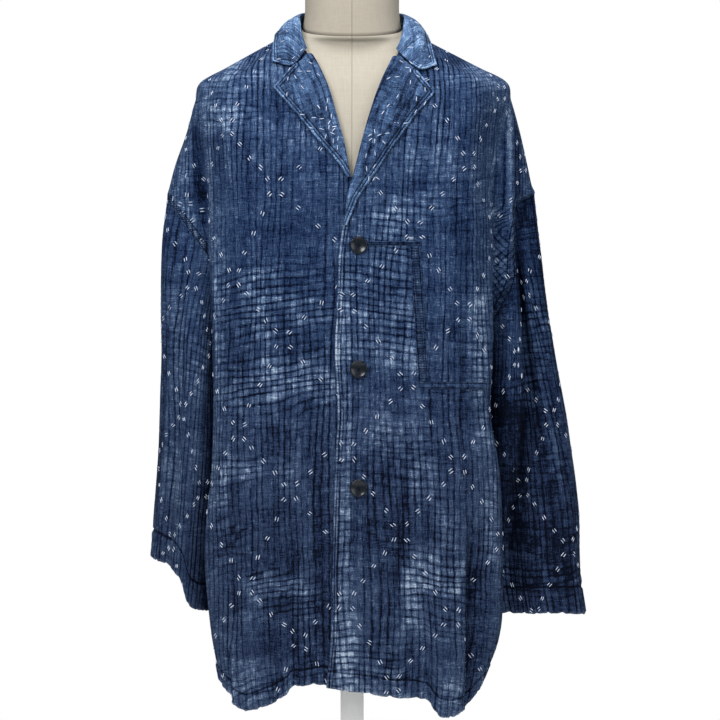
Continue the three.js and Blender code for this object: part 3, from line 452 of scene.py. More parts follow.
def edge_direction(side: Side, level: Array, points: Array) -> Array:
    """Directions of a body panel's wall along its seam.

    Args:
        side: the wearer's side.
        level: levels down the seam.
        points: the seam's points there, x outwards.

    Returns:
        Unit directions, easing from seam to armhole at the underarm.
    """
    net = FRONTS[side].net
    low = np.maximum(level - 4, net.levels[0])
    high = np.minimum(level + 4, net.levels[-1])
    along = net.spots(1.0, high) - net.spots(1.0, low)
    seam = unit(np.stack([along[..., 2], np.zeros(len(level)), -along[..., 0]], axis=-1))
    under, top = ARMHOLE[side]
    below = smooth(under - 30, under, level)
    above = 1 - smooth(top, top + 30, level)
    inside = np.where(level < (under + top) / 2, below, above)
    return unit(mix(seam, armhole_direction(side, points), inside[..., None]))


BACK_ROWS = Table("level centre_y blade_y fold_x fold_y tuck_x tuck_y", [
    [22, 134, 126, 166, 80, 160, 44], [100, 133, 125, 167, 78, 159, 43],
    [200, 130, 122, 166, 76, 156, 42], [300, 126, 118, 163, 74, 153, 41],
    [400, 123, 116, 161, 72, 151, 40], [460, 123, 116, 161, 72, 153, 41],
    [500, 124, 117, 162, 71, 157, 43], [555, 126, 118, 165, 70, 164, 47],
    [600, 126, 117, 170, 67, 172, 45], [627, 126, 115, 174, 64, 180, 41],
    [660, 124, 113, 178, 60, 185, 38], [700, 119, 108, 181, 54, 187, 34],
    [740, 110, 98, 174, 47, 182, 31], [764, 100, 89, 163, 51, 172, 34],
    [780, 89, 79, 134, 50, 146, 32], [800, 70, 63, 101, 38, 110, 24],
    [812, 63, 55, 82, 25, 89, 15], [820, 60, 50, 76, 12, 78.5, 6],
])
BACK_HEM = (30, 24, 22, 40, 56, 60, 60)
BACK_NECK = (-6, -5, -2.5, -0.5, 0, 0, 0)
BACK_SHARES = (0.42, 0.8)


@dataclass
class Back:
    """The back, from seam to seam; shares run from -1 over the centre to 1."""

    folds: Table
    nets: dict[Side, Net] = field(init=False)

    def __post_init__(self) -> None:
        """Make a net for each half, with every level that its armhole has."""
        self.nets = {side: self.half_net(side) for side in Side}

    def seam(self, side: Side, level: Array) -> Array:
        """The seam's x outwards and y: the armhole's back edge, or the front's own seam.

        Args:
            side: the wearer's side.
            level: levels.

        Returns:
            Pairs of x and y.
        """
        hole = ARMHOLE_BACK[side]
        level = np.asarray(level, float)
        inside = (level > hole["level"][0]) & (level < hole["level"][-1])
        own = FRONTS[side].net.spots(1.0, level)[..., :2]
        cut = np.stack([hole.read("level", key, level) for key in ("x", "y")], axis=-1)
        return np.where(inside[..., None], cut.reshape(own.shape), own)

    def half_net(self, side: Side) -> Net:
        """One half's net, x outwards.

        Args:
            side: the wearer's side.

        Returns:
            The net, from the centre to the seam.
        """
        hole = ARMHOLE_BACK[side]["level"]
        kept = [v for v in BACK_ROWS["level"] if np.abs(hole - v).min() >= 12]
        levels = np.array(sorted([*kept, *hole]))
        seams = self.seam(side, levels)
        net = []
        for i, level in enumerate(levels):
            x, y = seams[i]
            row = {k: BACK_ROWS.read("level", k, level)[0] for k in BACK_ROWS.columns}
            fold = (min(row["fold_x"], x + 8), row["fold_y"])
            tuck = (min(row["tuck_x"], x + 3), max(row["tuck_y"], y + 2))
            places = [
                (0, row["centre_y"]),
                (fold[0] * BACK_SHARES[0], mix(row["centre_y"], row["blade_y"], 0.25)),
                (fold[0] * BACK_SHARES[1], row["blade_y"]),
                fold,
                tuck,
                (mix(tuck[0], x, 0.55), mix(tuck[1], y, 0.5)),
                (x, y),
            ]
            heights = [level] * 7
            if i == 0:
                heights = list(BACK_HEM)
            if i == len(levels) - 1:
                heights = [level + drop for drop in BACK_NECK]
            net.append([(*place, z) for place, z in zip(places, heights)])
        return Net(np.array(net, float), levels)

    def spots(self, share: Any, level: Any) -> Array:
        """Points of the back's outside, with x to the wearer's left.

        Args:
            share: from -1 at the right seam to 1 at the left.
            level: levels.

        Returns:
            The points.
        """
        share, level = np.broadcast_arrays(np.asarray(share, float), np.asarray(level, float))
        points = np.zeros((*share.shape, 3))
        for side, net in self.nets.items():
            here = share < 0 if side is Side.RIGHT else share >= 0
            u, v = np.abs(share[here]), level[here]
            if not u.size:
                continue
            found = net.spots(u, v)
            off = self.seam(side, v) - net.spots(np.ones_like(v), v)[..., :2]
            near = smooth(net.stations[4], 1, u)[:, None]
            found[:, :2] += near * off
            found[:, 0] *= side.value
            facing = 1 - smooth(net.stations[2], net.stations[3], u)
            found[:, 1] += facing * fold_height(self.folds, found[:, 0], v)
            points[here] = found
        return points


BACK = Back(Table(FOLD_COLUMNS, [
    [-104, -118, 420, 20, 24, 7], [-70, -76, 360, 20, 18, -6], [-28, -20, 300, 20, 22, 5],
    [22, 30, 380, 20, 18, -6], [74, 80, 330, 20, 22, 7], [112, 122, 400, 20, 18, -6],
]))

SLEEVE_FLATNESS = 0.82
CREST_STEP = 11
SLEEVE_REACH = 0.08
CUFF_KINK = Table("across share", [
    [0, 0], [0.15, 0], [0.28, 0.03], [0.42, 0.22], [0.5, 0.54], [0.62, 0.75], [0.8, 0.9], [1, 1],
])
KINK_FROM = 0.72


@dataclass
class Sleeve:
    """A flattened tube that hangs from its armhole, with a fold down its front."""

    side: Side
    rows: Table

    def armhole(self, turn: Array) -> Array:
        """Points of the armhole, from its top down the front and up the back.

        Args:
            turn: shares of the way round.

        Returns:
            The points, x outwards.
        """
        under, top = ARMHOLE[self.side]
        level = mix(top, under, (1 - np.cos(turn * 2 * np.pi)) / 2)
        hole = ARMHOLE_BACK[self.side]
        front = FRONTS[self.side].net.spots(1.0, level)
        behind = np.stack([
            hole.read("level", "x", level), hole.read("level", "y", level), level,
        ], axis=-1)
        return np.where((turn <= 0.5)[..., None], front, behind)

    def section(self, turn: Array, along: Array) -> Array:
        """Points of the plain flattened section, before it is drawn to the armhole.

        Args:
            turn: shares of the way round.
            along: shares of the way down.

        Returns:
            The points, x outwards.
        """
        row = {k: self.rows.read("along", k, along) for k in self.rows.columns}
        angle = turn * 2 * np.pi
        power = lambda v: np.sign(v) * np.abs(v) ** SLEEVE_FLATNESS
        across = (1 + power(np.cos(angle))) / 2
        x = mix(row["inner_x"], row["outer_x"], across)
        front = turn <= 0.5
        y = np.where(front, row["front_y"], -row["back_y"]) * power(np.sin(angle))
        back_off = smooth(0, CREST_STEP, x - row["crest_x"])
        outside = np.clip((x - row["crest_x"]) / (row["outer_x"] - row["crest_x"]), 0, 1)
        pulled = y + row["recess"] * back_off * (1 - outside * outside)
        y = np.where(front, np.minimum(pulled, np.maximum(y, -4)), y)
        kinked = CUFF_KINK.read("across", "share", across)
        rise = mix(smooth(0, 1, across), kinked, smooth(KINK_FROM, 1, along))
        return np.stack([x, y, mix(row["inner_z"], row["outer_z"], rise)], axis=-1)

    def spots(self, turn: Any, along: Any) -> Array:
        """Points of the sleeve's outside, x outwards.

        Args:
            turn: shares of the way round.
            along: shares of the way down.

        Returns:
            The points.
        """
        turn, along = np.broadcast_arrays(np.asarray(turn, float), np.asarray(along, float))
        whole = turn - np.floor(turn)
        drawn = self.armhole(whole) - self.section(whole, np.zeros_like(along))
        ease = (1 - along) ** 3 * (1 + 2 * along)
        return self.section(whole, along) + drawn * ease[..., None]


SLEEVE_COLUMNS = "along outer_z inner_z outer_x inner_x front_y back_y crest_x recess"
SLEEVES = {
    Side.RIGHT: Sleeve(Side.RIGHT, Table(SLEEVE_COLUMNS, [
        [0, 625, 460, 224, 152, -50, 52, 204, 0], [0.13, 572, 425, 230, 155, -62, 60, 208, 6],
        [0.3, 500, 378, 232, 156, -70, 66, 208, 12], [0.5, 410, 300, 231, 158, -70, 66, 206, 13],
        [0.7, 310, 222, 234, 161, -66, 62, 206, 14], [0.88, 232, 160, 240, 165, -60, 58, 208, 17],
        [1, 188, 124, 244, 168, -56, 56, 212, 18],
    ])),
    Side.LEFT: Sleeve(Side.LEFT, Table(SLEEVE_COLUMNS, [
        [0, 627, 440, 221, 153, -55, 52, 198, 12], [0.13, 574, 405, 227, 156, -64, 60, 197, 34],
        [0.3, 505, 355, 235, 157, -68, 64, 199, 40], [0.5, 415, 300, 249, 158, -66, 62, 197, 38],
        [0.66, 330, 250, 263, 158, -60, 58, 186, 32], [0.8, 250, 200, 273, 160, -54, 54, 180, 18],
        [0.92, 170, 150, 277, 162, -50, 52, 180, 8], [1, 120, 120, 284, 165, -48, 50, 180, 4],
    ])),
}

COLLAR_COLUMNS = (
    "along seam_x seam_y seam_z crest_x crest_y crest_z "
    "swell_x swell_y swell_z edge_x edge_y edge_z"
)
COLLAR_BACK = [
    [0.72, 52.4, 42.6, 818, 45, 46, 849, 58, 62, 836, 68, 70, 806],
    [1, 0, 58, 815, 0, 64, 850, 0, 81, 836, 0, 92, 799],
]
COLLAR_HALVES = {
    Side.RIGHT: Table(COLLAR_COLUMNS, [
        [0, 54, -44.5, 802, 55.5, -54, 799.5, 71, -75, 780.5, 96, -67.5, 785],
        [0.16, 62.6, -25.5, 814, 61, -38, 822, 80, -51, 812, 96, -42, 803],
        [0.28, 68, -12, 820, 62.3, -20, 835, 80.5, -25, 827, 95, -20, 813],
        [0.42, 75.5, 0, 821.5, 62.5, 1, 843, 79, 3, 837, 93, 4, 821],
        *COLLAR_BACK,
    ]),
    Side.LEFT: Table(COLLAR_COLUMNS, [
        [0, 53, -45.5, 801.5, 55.5, -55.5, 797, 80, -80, 775.5, 102, -71, 781],
        [0.16, 62.6, -25.5, 813.5, 61, -38, 821, 81, -51, 811, 97, -43, 801],
        [0.28, 68, -12, 820, 62.3, -20, 834, 80.5, -25, 827, 95.5, -20, 812],
        [0.42, 75.5, 0, 821.5, 62.5, 1, 842, 78, 3, 838, 92, 4, 821],
        *COLLAR_BACK,
    ]),
}


def collar_net() -> Net:
    """The whole collar's net, from its right front end round the back to its left one.

    Returns:
        The net, a row for each place round the neck.
    """
    rows: list[tuple[float, list[tuple[float, ...]]]] = []
    for side in Side:
        for row in COLLAR_HALVES[side].rows():
            if side is Side.LEFT and row["along"] == 1:
                continue
            line = [
                (side.value * row[f"{s}_x"], row[f"{s}_y"], row[f"{s}_z"])
                for s in ("seam", "crest", "swell", "edge")
            ]
            rows.append((side.value * (1 - row["along"]), line))
    rows.sort(key=lambda item: item[0])
    return Net(np.array([line for _, line in rows], float), np.array([v for v, _ in rows]))


LAPELS = {
    Side.RIGHT: Table("level break_x edge_x", [
        [643, 1.5, 6], [658, 5.5, 15], [693, 15, 45], [722, 23, 69], [751, 31.5, 94.5],
        [777, 43, 71.5], [784, 46.5, 61], [790, 50, 54.5],
    ]),
    Side.LEFT: Table("level break_x edge_x", [
        [586, -8.5, -5.5], [617, -3, 7], [645, 5, 26], [675, 12.5, 46], [717, 24, 76],
        [745, 33, 99.5], [770, 43.5, 79], [779, 48, 68.5], [787, 51.5, 58.5],
    ]),
}
LAPEL_ROLL = 3.0
ROLL_WIDTH = 16
ROLL_TURN = math.radians(150)
ROLL_OUT = 4.2
ROLL_CLEAR = 0.95
LAPEL_CLEAR = 0.2
LAPEL_RISE = CLOTH + 0.9


# ------------------------------------------------------------------ a wall of cloth
def grid_normals(points: Array) -> Array:
    """Unit normals of a grid of points, from their neighbours."""
    return unit(np.cross(np.gradient(points, axis=0), np.gradient(points, axis=1)))


def spread(surface: Callable[[Any, Any], Array], low: float, high: float, across: Sequence[float],
           count: int, fine: Sequence[float] = ()) -> Array:
    """Places along a surface that lie evenly in length.

    Args:
        surface: gives points for a place and a cross place.
        low: the first place.
        high: the last place.
        across: cross places over which the lengths are averaged.
        count: how many even places.
        fine: extra lengths from the low end, in millimetres.

    Returns:
        The places, rising.
    """
    dense = np.linspace(low, high, 1201)
    runs = []
    for v in across:
        step = np.linalg.norm(np.diff(surface(dense, v), axis=0), axis=1)
        runs.append(np.concatenate([[0.0], np.cumsum(step)]))
    run = np.mean(runs, axis=0)
    first = [0.0, *fine]
    even = np.linspace(first[-1], run[-1], count - len(first) + 1)
    wanted = np.concatenate([first[:-1], even])
    return np.interp(wanted, run, dense)


@dataclass
class Cloth:
    """A wall of cloth over a grid of outside points, in millimetres.

    points are the outside, wall the outward directions, u and v the cloth's own sizes across
    and along, rim the distance to the nearest corded edge, turn the distance above a hem's
    stitching, hem the hem's depth, seam the distance from a felled seam, welt is 1 on its raised
    band, bias is 1 where the cloth lies on the slant, and one more grid is 1 on a fold that turns
    to the side, where wear and painted rim light both pale the cloth.
    """

    name: str
    points: Array
    wall: Array
    u: Array
    v: Array
    tube: bool = False
    thick: float = CLOTH
    rim: Array | None = None
    turn: Array | None = None
    hem: float = 22.0
    seam: Array | None = None
    welt: Array | None = None
    bias: Array | None = None
    worn: Array | None = None
    calm: Array | None = None
    phase: Array | None = None
    depth: Array | None = None
    tone: Array | None = None
    trees: dict[bool, KDTree] = field(default_factory=dict)

    def __post_init__(self) -> None:
        """Start the coordinates that no step has set far from any line."""
        shape = self.u.shape
        self.inner = self.points - self.wall * self.thick
        for name in ("rim", "turn", "seam"):
            if getattr(self, name) is None:
                setattr(self, name, np.full(shape, FAR))
        for name in ("bias", "welt", "worn"):
            if getattr(self, name) is None:
                setattr(self, name, np.zeros(shape))
        if self.calm is None:
            self.calm = np.ones(shape)

    @property
    def place(self) -> tuple[Array, Array]:
        """The outside's x and height."""
        return self.points[..., 0], self.points[..., 2] - HEM_LIFT

    @property
    def to_edge(self) -> Array:
        """The distance from the edge of the hem."""
        return self.turn + self.hem

    def raise_by(self, height: Array) -> None:
        """Move the outside along the wall's own directions."""
        self.points = self.points + self.wall * height[..., None]

    def fold_by(self, height: Array) -> None:
        """Move the outside and the inside together along the wall's own directions."""
        self.raise_by(height)
        self.inner = self.inner + self.wall * height[..., None]

    def scallop(self, amount: Array, reach: float = 7.0) -> None:
        """Let the edge of the hem wander down and up.

        Args:
            amount: how far down, for each grid corner.
            reach: how far from the edge it has mostly faded.
        """
        last, beside = (-1, -2) if self.tube else (0, 1)
        down = unit(self.points[:, last] - self.points[:, beside])[:, None, :]
        shift = down * (amount * np.exp(-self.to_edge / reach))[..., None]
        self.points, self.inner = self.points + shift, self.inner + shift

    def at(self, i: Array, j: Array) -> tuple[Array, Array]:
        """Read the outside between grid corners.

        Args:
            i: places across, in columns.
            j: places along, in rows.

        Returns:
            Points and outward normals.
        """
        rows, columns = self.u.shape
        i, j = np.clip(i, 0, rows - 1.001), np.clip(j, 0, columns - 1.001)
        a, b = np.floor(i).astype(int), np.floor(j).astype(int)
        s, t = (i - a)[:, None], (j - b)[:, None]
        read = lambda g: mix(mix(g[a, b], g[a + 1, b], s), mix(g[a, b + 1], g[a + 1, b + 1], s), t)
        return read(self.points), unit(read(self.wall))

    def grids(self, by_place: bool) -> tuple[Array, Array]:
        """The grids that places are given in: x and height on what faces the front, or u, v.

        Args:
            by_place: whether they are x and heights.

        Returns:
            The two grids.
        """
        if not by_place:
            return self.u, self.v
        x, level = self.place
        return np.where(self.wall[..., 1] < -0.15, x, 1e4), level

    def find(self, u: Array, v: Array, by_place: bool = False) -> tuple[Array, Array, Array]:
        """Grid places of points given in the cloth's own sizes, or by x and height.

        Args:
            u: sizes across, or x.
            v: sizes along, or heights.
            by_place: whether they are x and heights.

        Returns:
            Places across and along the grid, and which of them lie on the cloth.
        """
        first, second = self.grids(by_place)
        if by_place not in self.trees:
            tree = KDTree(first.size)
            for k, (a, b) in enumerate(zip(first.ravel(), second.ravel())):
                tree.insert((a, b, 0.0), k)
            tree.balance()
            self.trees[by_place] = tree
        tree, width = self.trees[by_place], first.shape[1]
        near = [tree.find((float(a), float(b), 0.0)) for a, b in zip(u, v)]
        index = np.array([hit[1] for hit in near])
        inside = np.array([hit[2] for hit in near]) < 4.0
        i, j = index // width, index % width
        p, q = np.clip(i, 1, first.shape[0] - 2), np.clip(j, 1, width - 2)
        ui, vi = [(g[p + 1, q] - g[p - 1, q]) / 2 for g in (first, second)]
        uj, vj = [(g[p, q + 1] - g[p, q - 1]) / 2 for g in (first, second)]
        du, dv = u - first[i, j], v - second[i, j]
        size = ui * vj - uj * vi
        size = np.where(np.abs(size) < 1e-6, 1e-6, size)
        step_i = np.clip((du * vj - dv * uj) / size, -1, 1)
        step_j = np.clip((dv * ui - du * vi) / size, -1, 1)
        return i + step_i, j + step_j, inside


def run_across(points: Array) -> Array:
    """Length along each row of a grid, from its first column."""
    steps = np.linalg.norm(np.diff(points, axis=0), axis=-1)
    return np.concatenate([np.zeros((1, points.shape[1])), np.cumsum(steps, axis=0)])


def run_along(points: Array) -> Array:
    """Length along each column of a grid, from its first row."""
    return run_across(points.swapaxes(0, 1)).T


def placed(points: Array, side: int = 1) -> Array:
    """Outward points turned to their side and lifted to the height of the form."""
    return points * np.array([side, 1.0, 1.0]) + np.array([0.0, 0.0, HEM_LIFT])


# ------------------------------------------------------------------ quilting and creases
QUILT_COLUMNS = {
    "creases": "top_u bottom_u top bottom width height",
    "laps": "top_u bottom_u top bottom height reach",
    "pales": "u v half_u half_v strength",
    "areas": "u v half_u half_v tone across down",
}


def crease_height(creases: list[Row], u: Array, v: Array) -> Array:
    """Height of long soft creases, in the cloth's own sizes.

    Args:
        creases: their rows, troughs with a height below zero.
        u: sizes across.
        v: sizes along.

    Returns:
        Heights outwards, in millimetres.
    """
    total = np.zeros(u.shape)
    for crease in creases:
        along, centre = course(crease, v, sway=2.5, turns=5.0)
        ends = smooth(0, 0.3, along) * (1 - smooth(0.72, 1, along))
        across = (u - centre) / crease["width"]
        total += crease["height"] * ends * np.exp(-across * across)
    return total


def lap_height(laps: list[Row], u: Array, v: Array) -> Array:
    """Height of folds where the cloth nearly laps itself: a slow rise, then a sudden drop.

    Args:
        laps: their rows; the drop is on the side away from the centre.
        u: sizes across.
        v: sizes along.

    Returns:
        Heights outwards, in millimetres.
    """
    total = np.zeros(u.shape)
    for lap in laps:
        along, line = course(lap, v, sway=1.5, turns=7.0)
        side = 1 if lap["top_u"] > 0 else -1
        near = (line - u) * side / lap["reach"]
        high = np.exp(-2.2 * np.clip(near, 0, None))
        low = -0.8 * np.exp(2.6 * np.clip(near, None, 0))
        ends = smooth(0, 0.4, along) * (1 - smooth(1.05, 1.25, along))
        total += lap["height"] * ends * mix(low, high, smooth(-1.4, 1.4, near * lap["reach"]))
    return total


# Each unevenness: its own seed, how much, and how far apart its turns are across and along.
UNEVEN = {
    "pale_u": [(11, 0.35, 16, 16)],
    "pale_v": [(12, 0.35, 20, 12)],
    "area_x": [(23, 0.25, 18, 18)],
    "area_z": [(24, 0.25, 18, 14)],
    "lines_u": [(0, 0.65, 27, 120), (1, 0.9, 75, 320), (21, 0.15, 10, 32)],
    "lines_v": [(2, 0.60, 62, 27), (3, 0.9, 130, 220), (22, 0.15, 28, 11)],
    "down": [(4, 0.55, 8, 85)],
    "across": [(5, 0.26, 40, 9), (6, 0.22, 150, 120)],
    "tone": [(7, 0.085, 12, 130), (8, 0.06, 110, 14), (9, 0.07, 90, 110)],
    "mottle": [(13, 1, 13, 17)],
    "swell": [(10, 0.32, 17, 45)],
    "hem_edge": [(15, 1, 20, 50), (17, 0.3, 7, 50)],
    "hem_pulls": [(18, 0.5, 60, 50)],
    "hem_puff": [(16, 0.5, 15, 60)],
}


PALE_TONE, PALE_ACROSS, PALE_DOWN = 0.31, 0.80, 0.30
# The first of these takes paleness away past the tuck, where the cloth lies on the slant: painted
# shade.
BIAS_SHADE, BIAS_TONE, BIAS_ACROSS = 0.6, 0.10, 0.75
# How much folds that turn to the side are paled, partly as wear and partly as painted rim light.
WORN_RIM_LIGHT_TONE = 0.13
WELT_HEIGHT = 1.1
FELLED_HALF = 1.3


@dataclass(frozen=True)
class Quilting:
    """How a double cloth is puckered, in troughs that run along it and across it."""

    seed: int
    pitch_u: float = 7.6
    pitch_v: float = 8.8
    down: float = 0.62
    across: float = 0.12
    height: float = 0.72
    tone: float = 0.32
    mottle: float = 0.03
    slant: float = 0.0
    creases: Rows = ()
    by_place: bool = False
    laps: Rows = ()
    pales: Rows = ()
    areas: Rows = ()
    cords: bool = False

    def rows(self, what: str) -> list[Row]:
        """The rows of one of its tables."""
        return Table(QUILT_COLUMNS[what], getattr(self, what)).rows()

    def uneven(self, what: str, u: Array, v: Array) -> Array:
        """The sum of the unevennesses listed under a name."""
        return sum(much * drift(self.seed + own, u, v, span_u, span_v)
                   for own, much, span_u, span_v in UNEVEN[what])

    def faded(self, u: Array, v: Array) -> Array:
        """How far the checks have paled, up to 1.

        Args:
            u: sizes across.
            v: sizes along.

        Returns:
            Shares of paleness.
        """
        total = np.zeros(u.shape)
        edges = self.uneven("pale_u", u, v), self.uneven("pale_v", u, v)
        for row in self.rows("pales"):
            total += row["strength"] * self.inside(row, (u, v), edges, (0.65, 1.25))
        return np.clip(total, 0, 1)

    def charted(self, cloth: Cloth) -> Array:
        """What the areas charted by place add to the tone and to the troughs across and down.

        Args:
            cloth: the wall.

        Returns:
            Three grids: tone, across and down.
        """
        total = np.zeros((3, *cloth.u.shape))
        edges = self.uneven("area_x", cloth.u, cloth.v), self.uneven("area_z", cloth.u, cloth.v)
        facing = smooth(0.3, -0.2, cloth.wall[..., 1])
        for row in self.rows("areas"):
            near = facing * self.inside(row, cloth.place, edges, (0.6, 1.3))
            total += near * np.array([row["tone"], row["across"], row["down"]])[:, None, None]
        return total

    @staticmethod
    def inside(row: Row, place: tuple[Array, Array], edges: tuple[Array, Array],
               fade: tuple[float, float]) -> Array:
        """Where a row's patch lies.

        Args:
            row: the patch, with its middle and its half sizes.
            place: places across and along.
            edges: how uneven its edges are, each way.
            fade: shares of its half sizes between which it fades.

        Returns:
            1 well inside it and 0 outside.
        """
        a = np.abs(place[0] - row["u"]) / row["half_u"] + edges[0]
        b = np.abs(place[1] - row["v"]) / row["half_v"] + edges[1]
        return 1 - smooth(*fade, np.maximum(a, b))

    def work(self, cloth: Cloth) -> None:
        """Pucker a wall of cloth and set what its finish reads.

        Args:
            cloth: the wall, whose outside is moved.
        """
        u, v = cloth.u, cloth.v
        # Past the tuck, where the cloth lies on the slant, paleness is taken away: painted shade.
        pale = self.faded(u, v) - BIAS_SHADE * cloth.bias
        phase_u = u / self.pitch_u + self.uneven("lines_u", u, v)
        fades = 1 - 0.5 * smooth(200, 400, v) - 0.5 * smooth(540, 660, v)
        phase_v = (v + self.slant * np.abs(u) * fades) / self.pitch_v
        phase_v += self.uneven("lines_v", u, v)
        middle = np.array([u[cloth.bias > 0.5].mean(), v[cloth.bias > 0.5].mean()]
                          if cloth.bias.max() > 0.5 else [0.0, 0.0])
        phase_u += cloth.bias * 0.8 * (v - middle[1]) / self.pitch_u
        phase_v -= cloth.bias * 0.9 * (u - middle[0]) / self.pitch_v
        # The charted areas' tone is mostly painted light and shade: paler where light falls,
        # darker in hollows and beside the sleeves.
        charted_light_and_shade, across, down = self.charted(cloth)
        down += self.down + PALE_DOWN * pale + self.uneven("down", u, v)
        across += self.across + PALE_ACROSS * pale + self.uneven("across", u, v)
        across += BIAS_ACROSS * cloth.bias
        cloth.phase = np.stack([phase_u, phase_v], axis=-1)
        cloth.depth = np.stack([np.clip(down, 0.08, 1.3), np.clip(across, 0.03, 1.2)], axis=-1)
        tone = self.tone + PALE_TONE * pale + self.uneven("tone", u, v) + charted_light_and_shade
        # Folds that turn to the side are paler, partly from wear and partly as painted rim light.
        tone += self.mottle * self.uneven("mottle", u, v) + WORN_RIM_LIGHT_TONE * cloth.worn
        # Paler towards the top of each body piece and sleeve: painted light from above.
        tone += 0.06 * smooth(480, 720, v) + BIAS_TONE * cloth.bias
        shape = crease_height(self.rows("creases"), *(cloth.place if self.by_place else (u, v)))
        shape += lap_height(self.rows("laps"), u, v)
        cloth.fold_by(shape * cloth.calm)
        # Darker in the creases and paler on their ridges: painted shade and painted light.
        tone += 0.06 * np.clip(shape, -3, 2)
        height = -self.height * self.trough(phase_u) * cloth.depth[..., 0]
        height -= self.height * self.trough(phase_v) * cloth.depth[..., 1]
        height *= smooth(-1, 7, cloth.rim) if self.cords else 1.0
        height += self.uneven("swell", u, v)
        if self.cords:
            height += corded(cloth.rim)
            tone += 0.07 * np.exp(-((cloth.rim - 2.0) / 3.0) ** 2)
        height += WELT_HEIGHT * cloth.welt
        for row in FELLED_ROWS:
            height -= np.exp(-((cloth.seam - row) / FELLED_HALF) ** 2)
        tone -= 0.02 * cloth.welt
        height = height * cloth.calm
        if cloth.turn.min() < 0:
            height += self.hemmed(cloth, phase_u)
            tone += 0.10 * (1 - smooth(2, 12, cloth.to_edge)) + 0.03 * (cloth.turn < 0)
        cloth.tone = tone
        cloth.raise_by(height)

    def hemmed(self, cloth: Cloth, phase: Array) -> Array:
        """Round and pucker the hem's turned-up band, and let its edge wander.

        Args:
            cloth: the wall, whose edge is moved.
            phase: the troughs that run down it.

        Returns:
            What the band adds to the outside's height.
        """
        band = 1 - smooth(-1.6, 0.4, cloth.turn)
        wander = self.uneven("hem_edge", cloth.u, cloth.u * 0)
        pulls = cloth.u / PULL_PITCH + self.uneven("hem_pulls", cloth.u, cloth.u * 0)
        pulled = np.exp(-((pulls - np.round(pulls)) * PULL_PITCH / 2.4) ** 2)
        cloth.scallop(1.6 * wander - 0.3 * self.trough(phase) ** 2 - 1.6 * pulled)
        puff = 0.5 if cloth.tube else 1.4
        puffed = puff + self.uneven("hem_puff", cloth.u, cloth.v) - puff * pulled
        puffed = puffed - 0.9 * self.trough(phase) ** 2
        near = np.clip(1 - cloth.to_edge / 3.0, 0, 1)
        rolled = 2.0 * (1 - np.sqrt(1 - near * near))
        return band * (puffed - rolled) - 1.8 * np.exp(-(cloth.turn / 2.0) ** 2)

    @staticmethod
    def trough(phase: Array) -> Array:
        """1 along each trough and 0 on the puffs between."""
        return 0.5 + 0.5 * np.cos(2 * np.pi * phase)


PULL_PITCH = 24.0
CORD_LINES = (1.7, 5.1)
CORD_ROWS = (3.4, 7.0)
CORD_HEIGHT = 0.8
CORD_HALF = 1.5
FELLED_ROWS = (1.8, 10.8)


def corded(rim: Array) -> Array:
    """Height of the two cords that pipe an edge, by the distance from it.

    Args:
        rim: the distance from the edge.

    Returns:
        Heights outwards, in millimetres.
    """
    total = np.zeros(rim.shape)
    for line in CORD_LINES:
        off = np.clip(np.abs(rim - line) / CORD_HALF, 0, 1)
        total += CORD_HEIGHT * np.sqrt(1 - off * off)
    return total - 0.5 * (1 - smooth(7, 9, rim))


# ------------------------------------------------------------------ meshes
def linked(name: str, data: Any) -> bpy.types.Object:
    """A new object in the scene.

    Args:
        name: its name.
        data: its mesh, light or camera.

    Returns:
        The object.
    """
    obj = bpy.data.objects.new(name, data)
    bpy.context.scene.collection.objects.link(obj)
    return obj


def keep(name: str, mesh: bpy.types.Mesh, material: bpy.types.Material) -> bpy.types.Object:
    """Make a finished piece of a mesh, riding on the whole.

    Args:
        name: the piece's name.
        mesh: its mesh, in metres.
        material: its finish.

    Returns:
        The piece.
    """
    obj = linked(name, mesh)
    mesh.materials.clear()
    mesh.materials.append(material)
    mesh.polygons.foreach_set("use_smooth", [True] * len(mesh.polygons))
    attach(obj, "root")
    LOG.info("%s: %d faces", name, len(mesh.polygons))
    return obj


def mesh_of(bm: bmesh.types.BMesh, name: str) -> bpy.types.Mesh:
    """Turn a bmesh into a mesh and free it.

    Args:
        bm: the bmesh.
        name: the mesh's name.

    Returns:
        The mesh.
    """
    mesh = bpy.data.meshes.new(name)
    bm.to_mesh(mesh)
    bm.free()
    return mesh


def co_of(mesh: bpy.types.Mesh) -> Array:
    """A mesh's corners as rows of three.

    Args:
        mesh: the mesh.

    Returns:
        Its corners.
    """
    co = np.empty(len(mesh.vertices) * 3)
    mesh.vertices.foreach_get("co", co)
    return co.reshape(-1, 3)


def spun(profile: Rows, steps: int, closed: bool = False, weld: float = 0.0) -> bmesh.types.BMesh:
    """A profile spun right round Z.

    Args:
        profile: its corners, from pole to pole unless it's closed.
        steps: cells round it.
        closed: whether its last corner joins its first.
        weld: corners nearer than this become one, as at the poles.

    Returns:
        The body, closed and facing outwards.
    """
    bm = bmesh.new()
    corners = [bm.verts.new(p) for p in profile]
    following = corners[1:] + corners[:1] if closed else corners[1:]
    edges = [bm.edges.new(pair) for pair in zip(corners, following)]
    bmesh.ops.spin(bm, geom=corners + edges, cent=(0, 0, 0), axis=(0, 0, 1),
                   angle=2 * math.pi, steps=steps, use_merge=True, use_duplicate=False)
    if weld:
        bmesh.ops.remove_doubles(bm, verts=bm.verts, dist=weld)
    bmesh.ops.recalc_face_normals(bm, faces=bm.faces)
    return bm


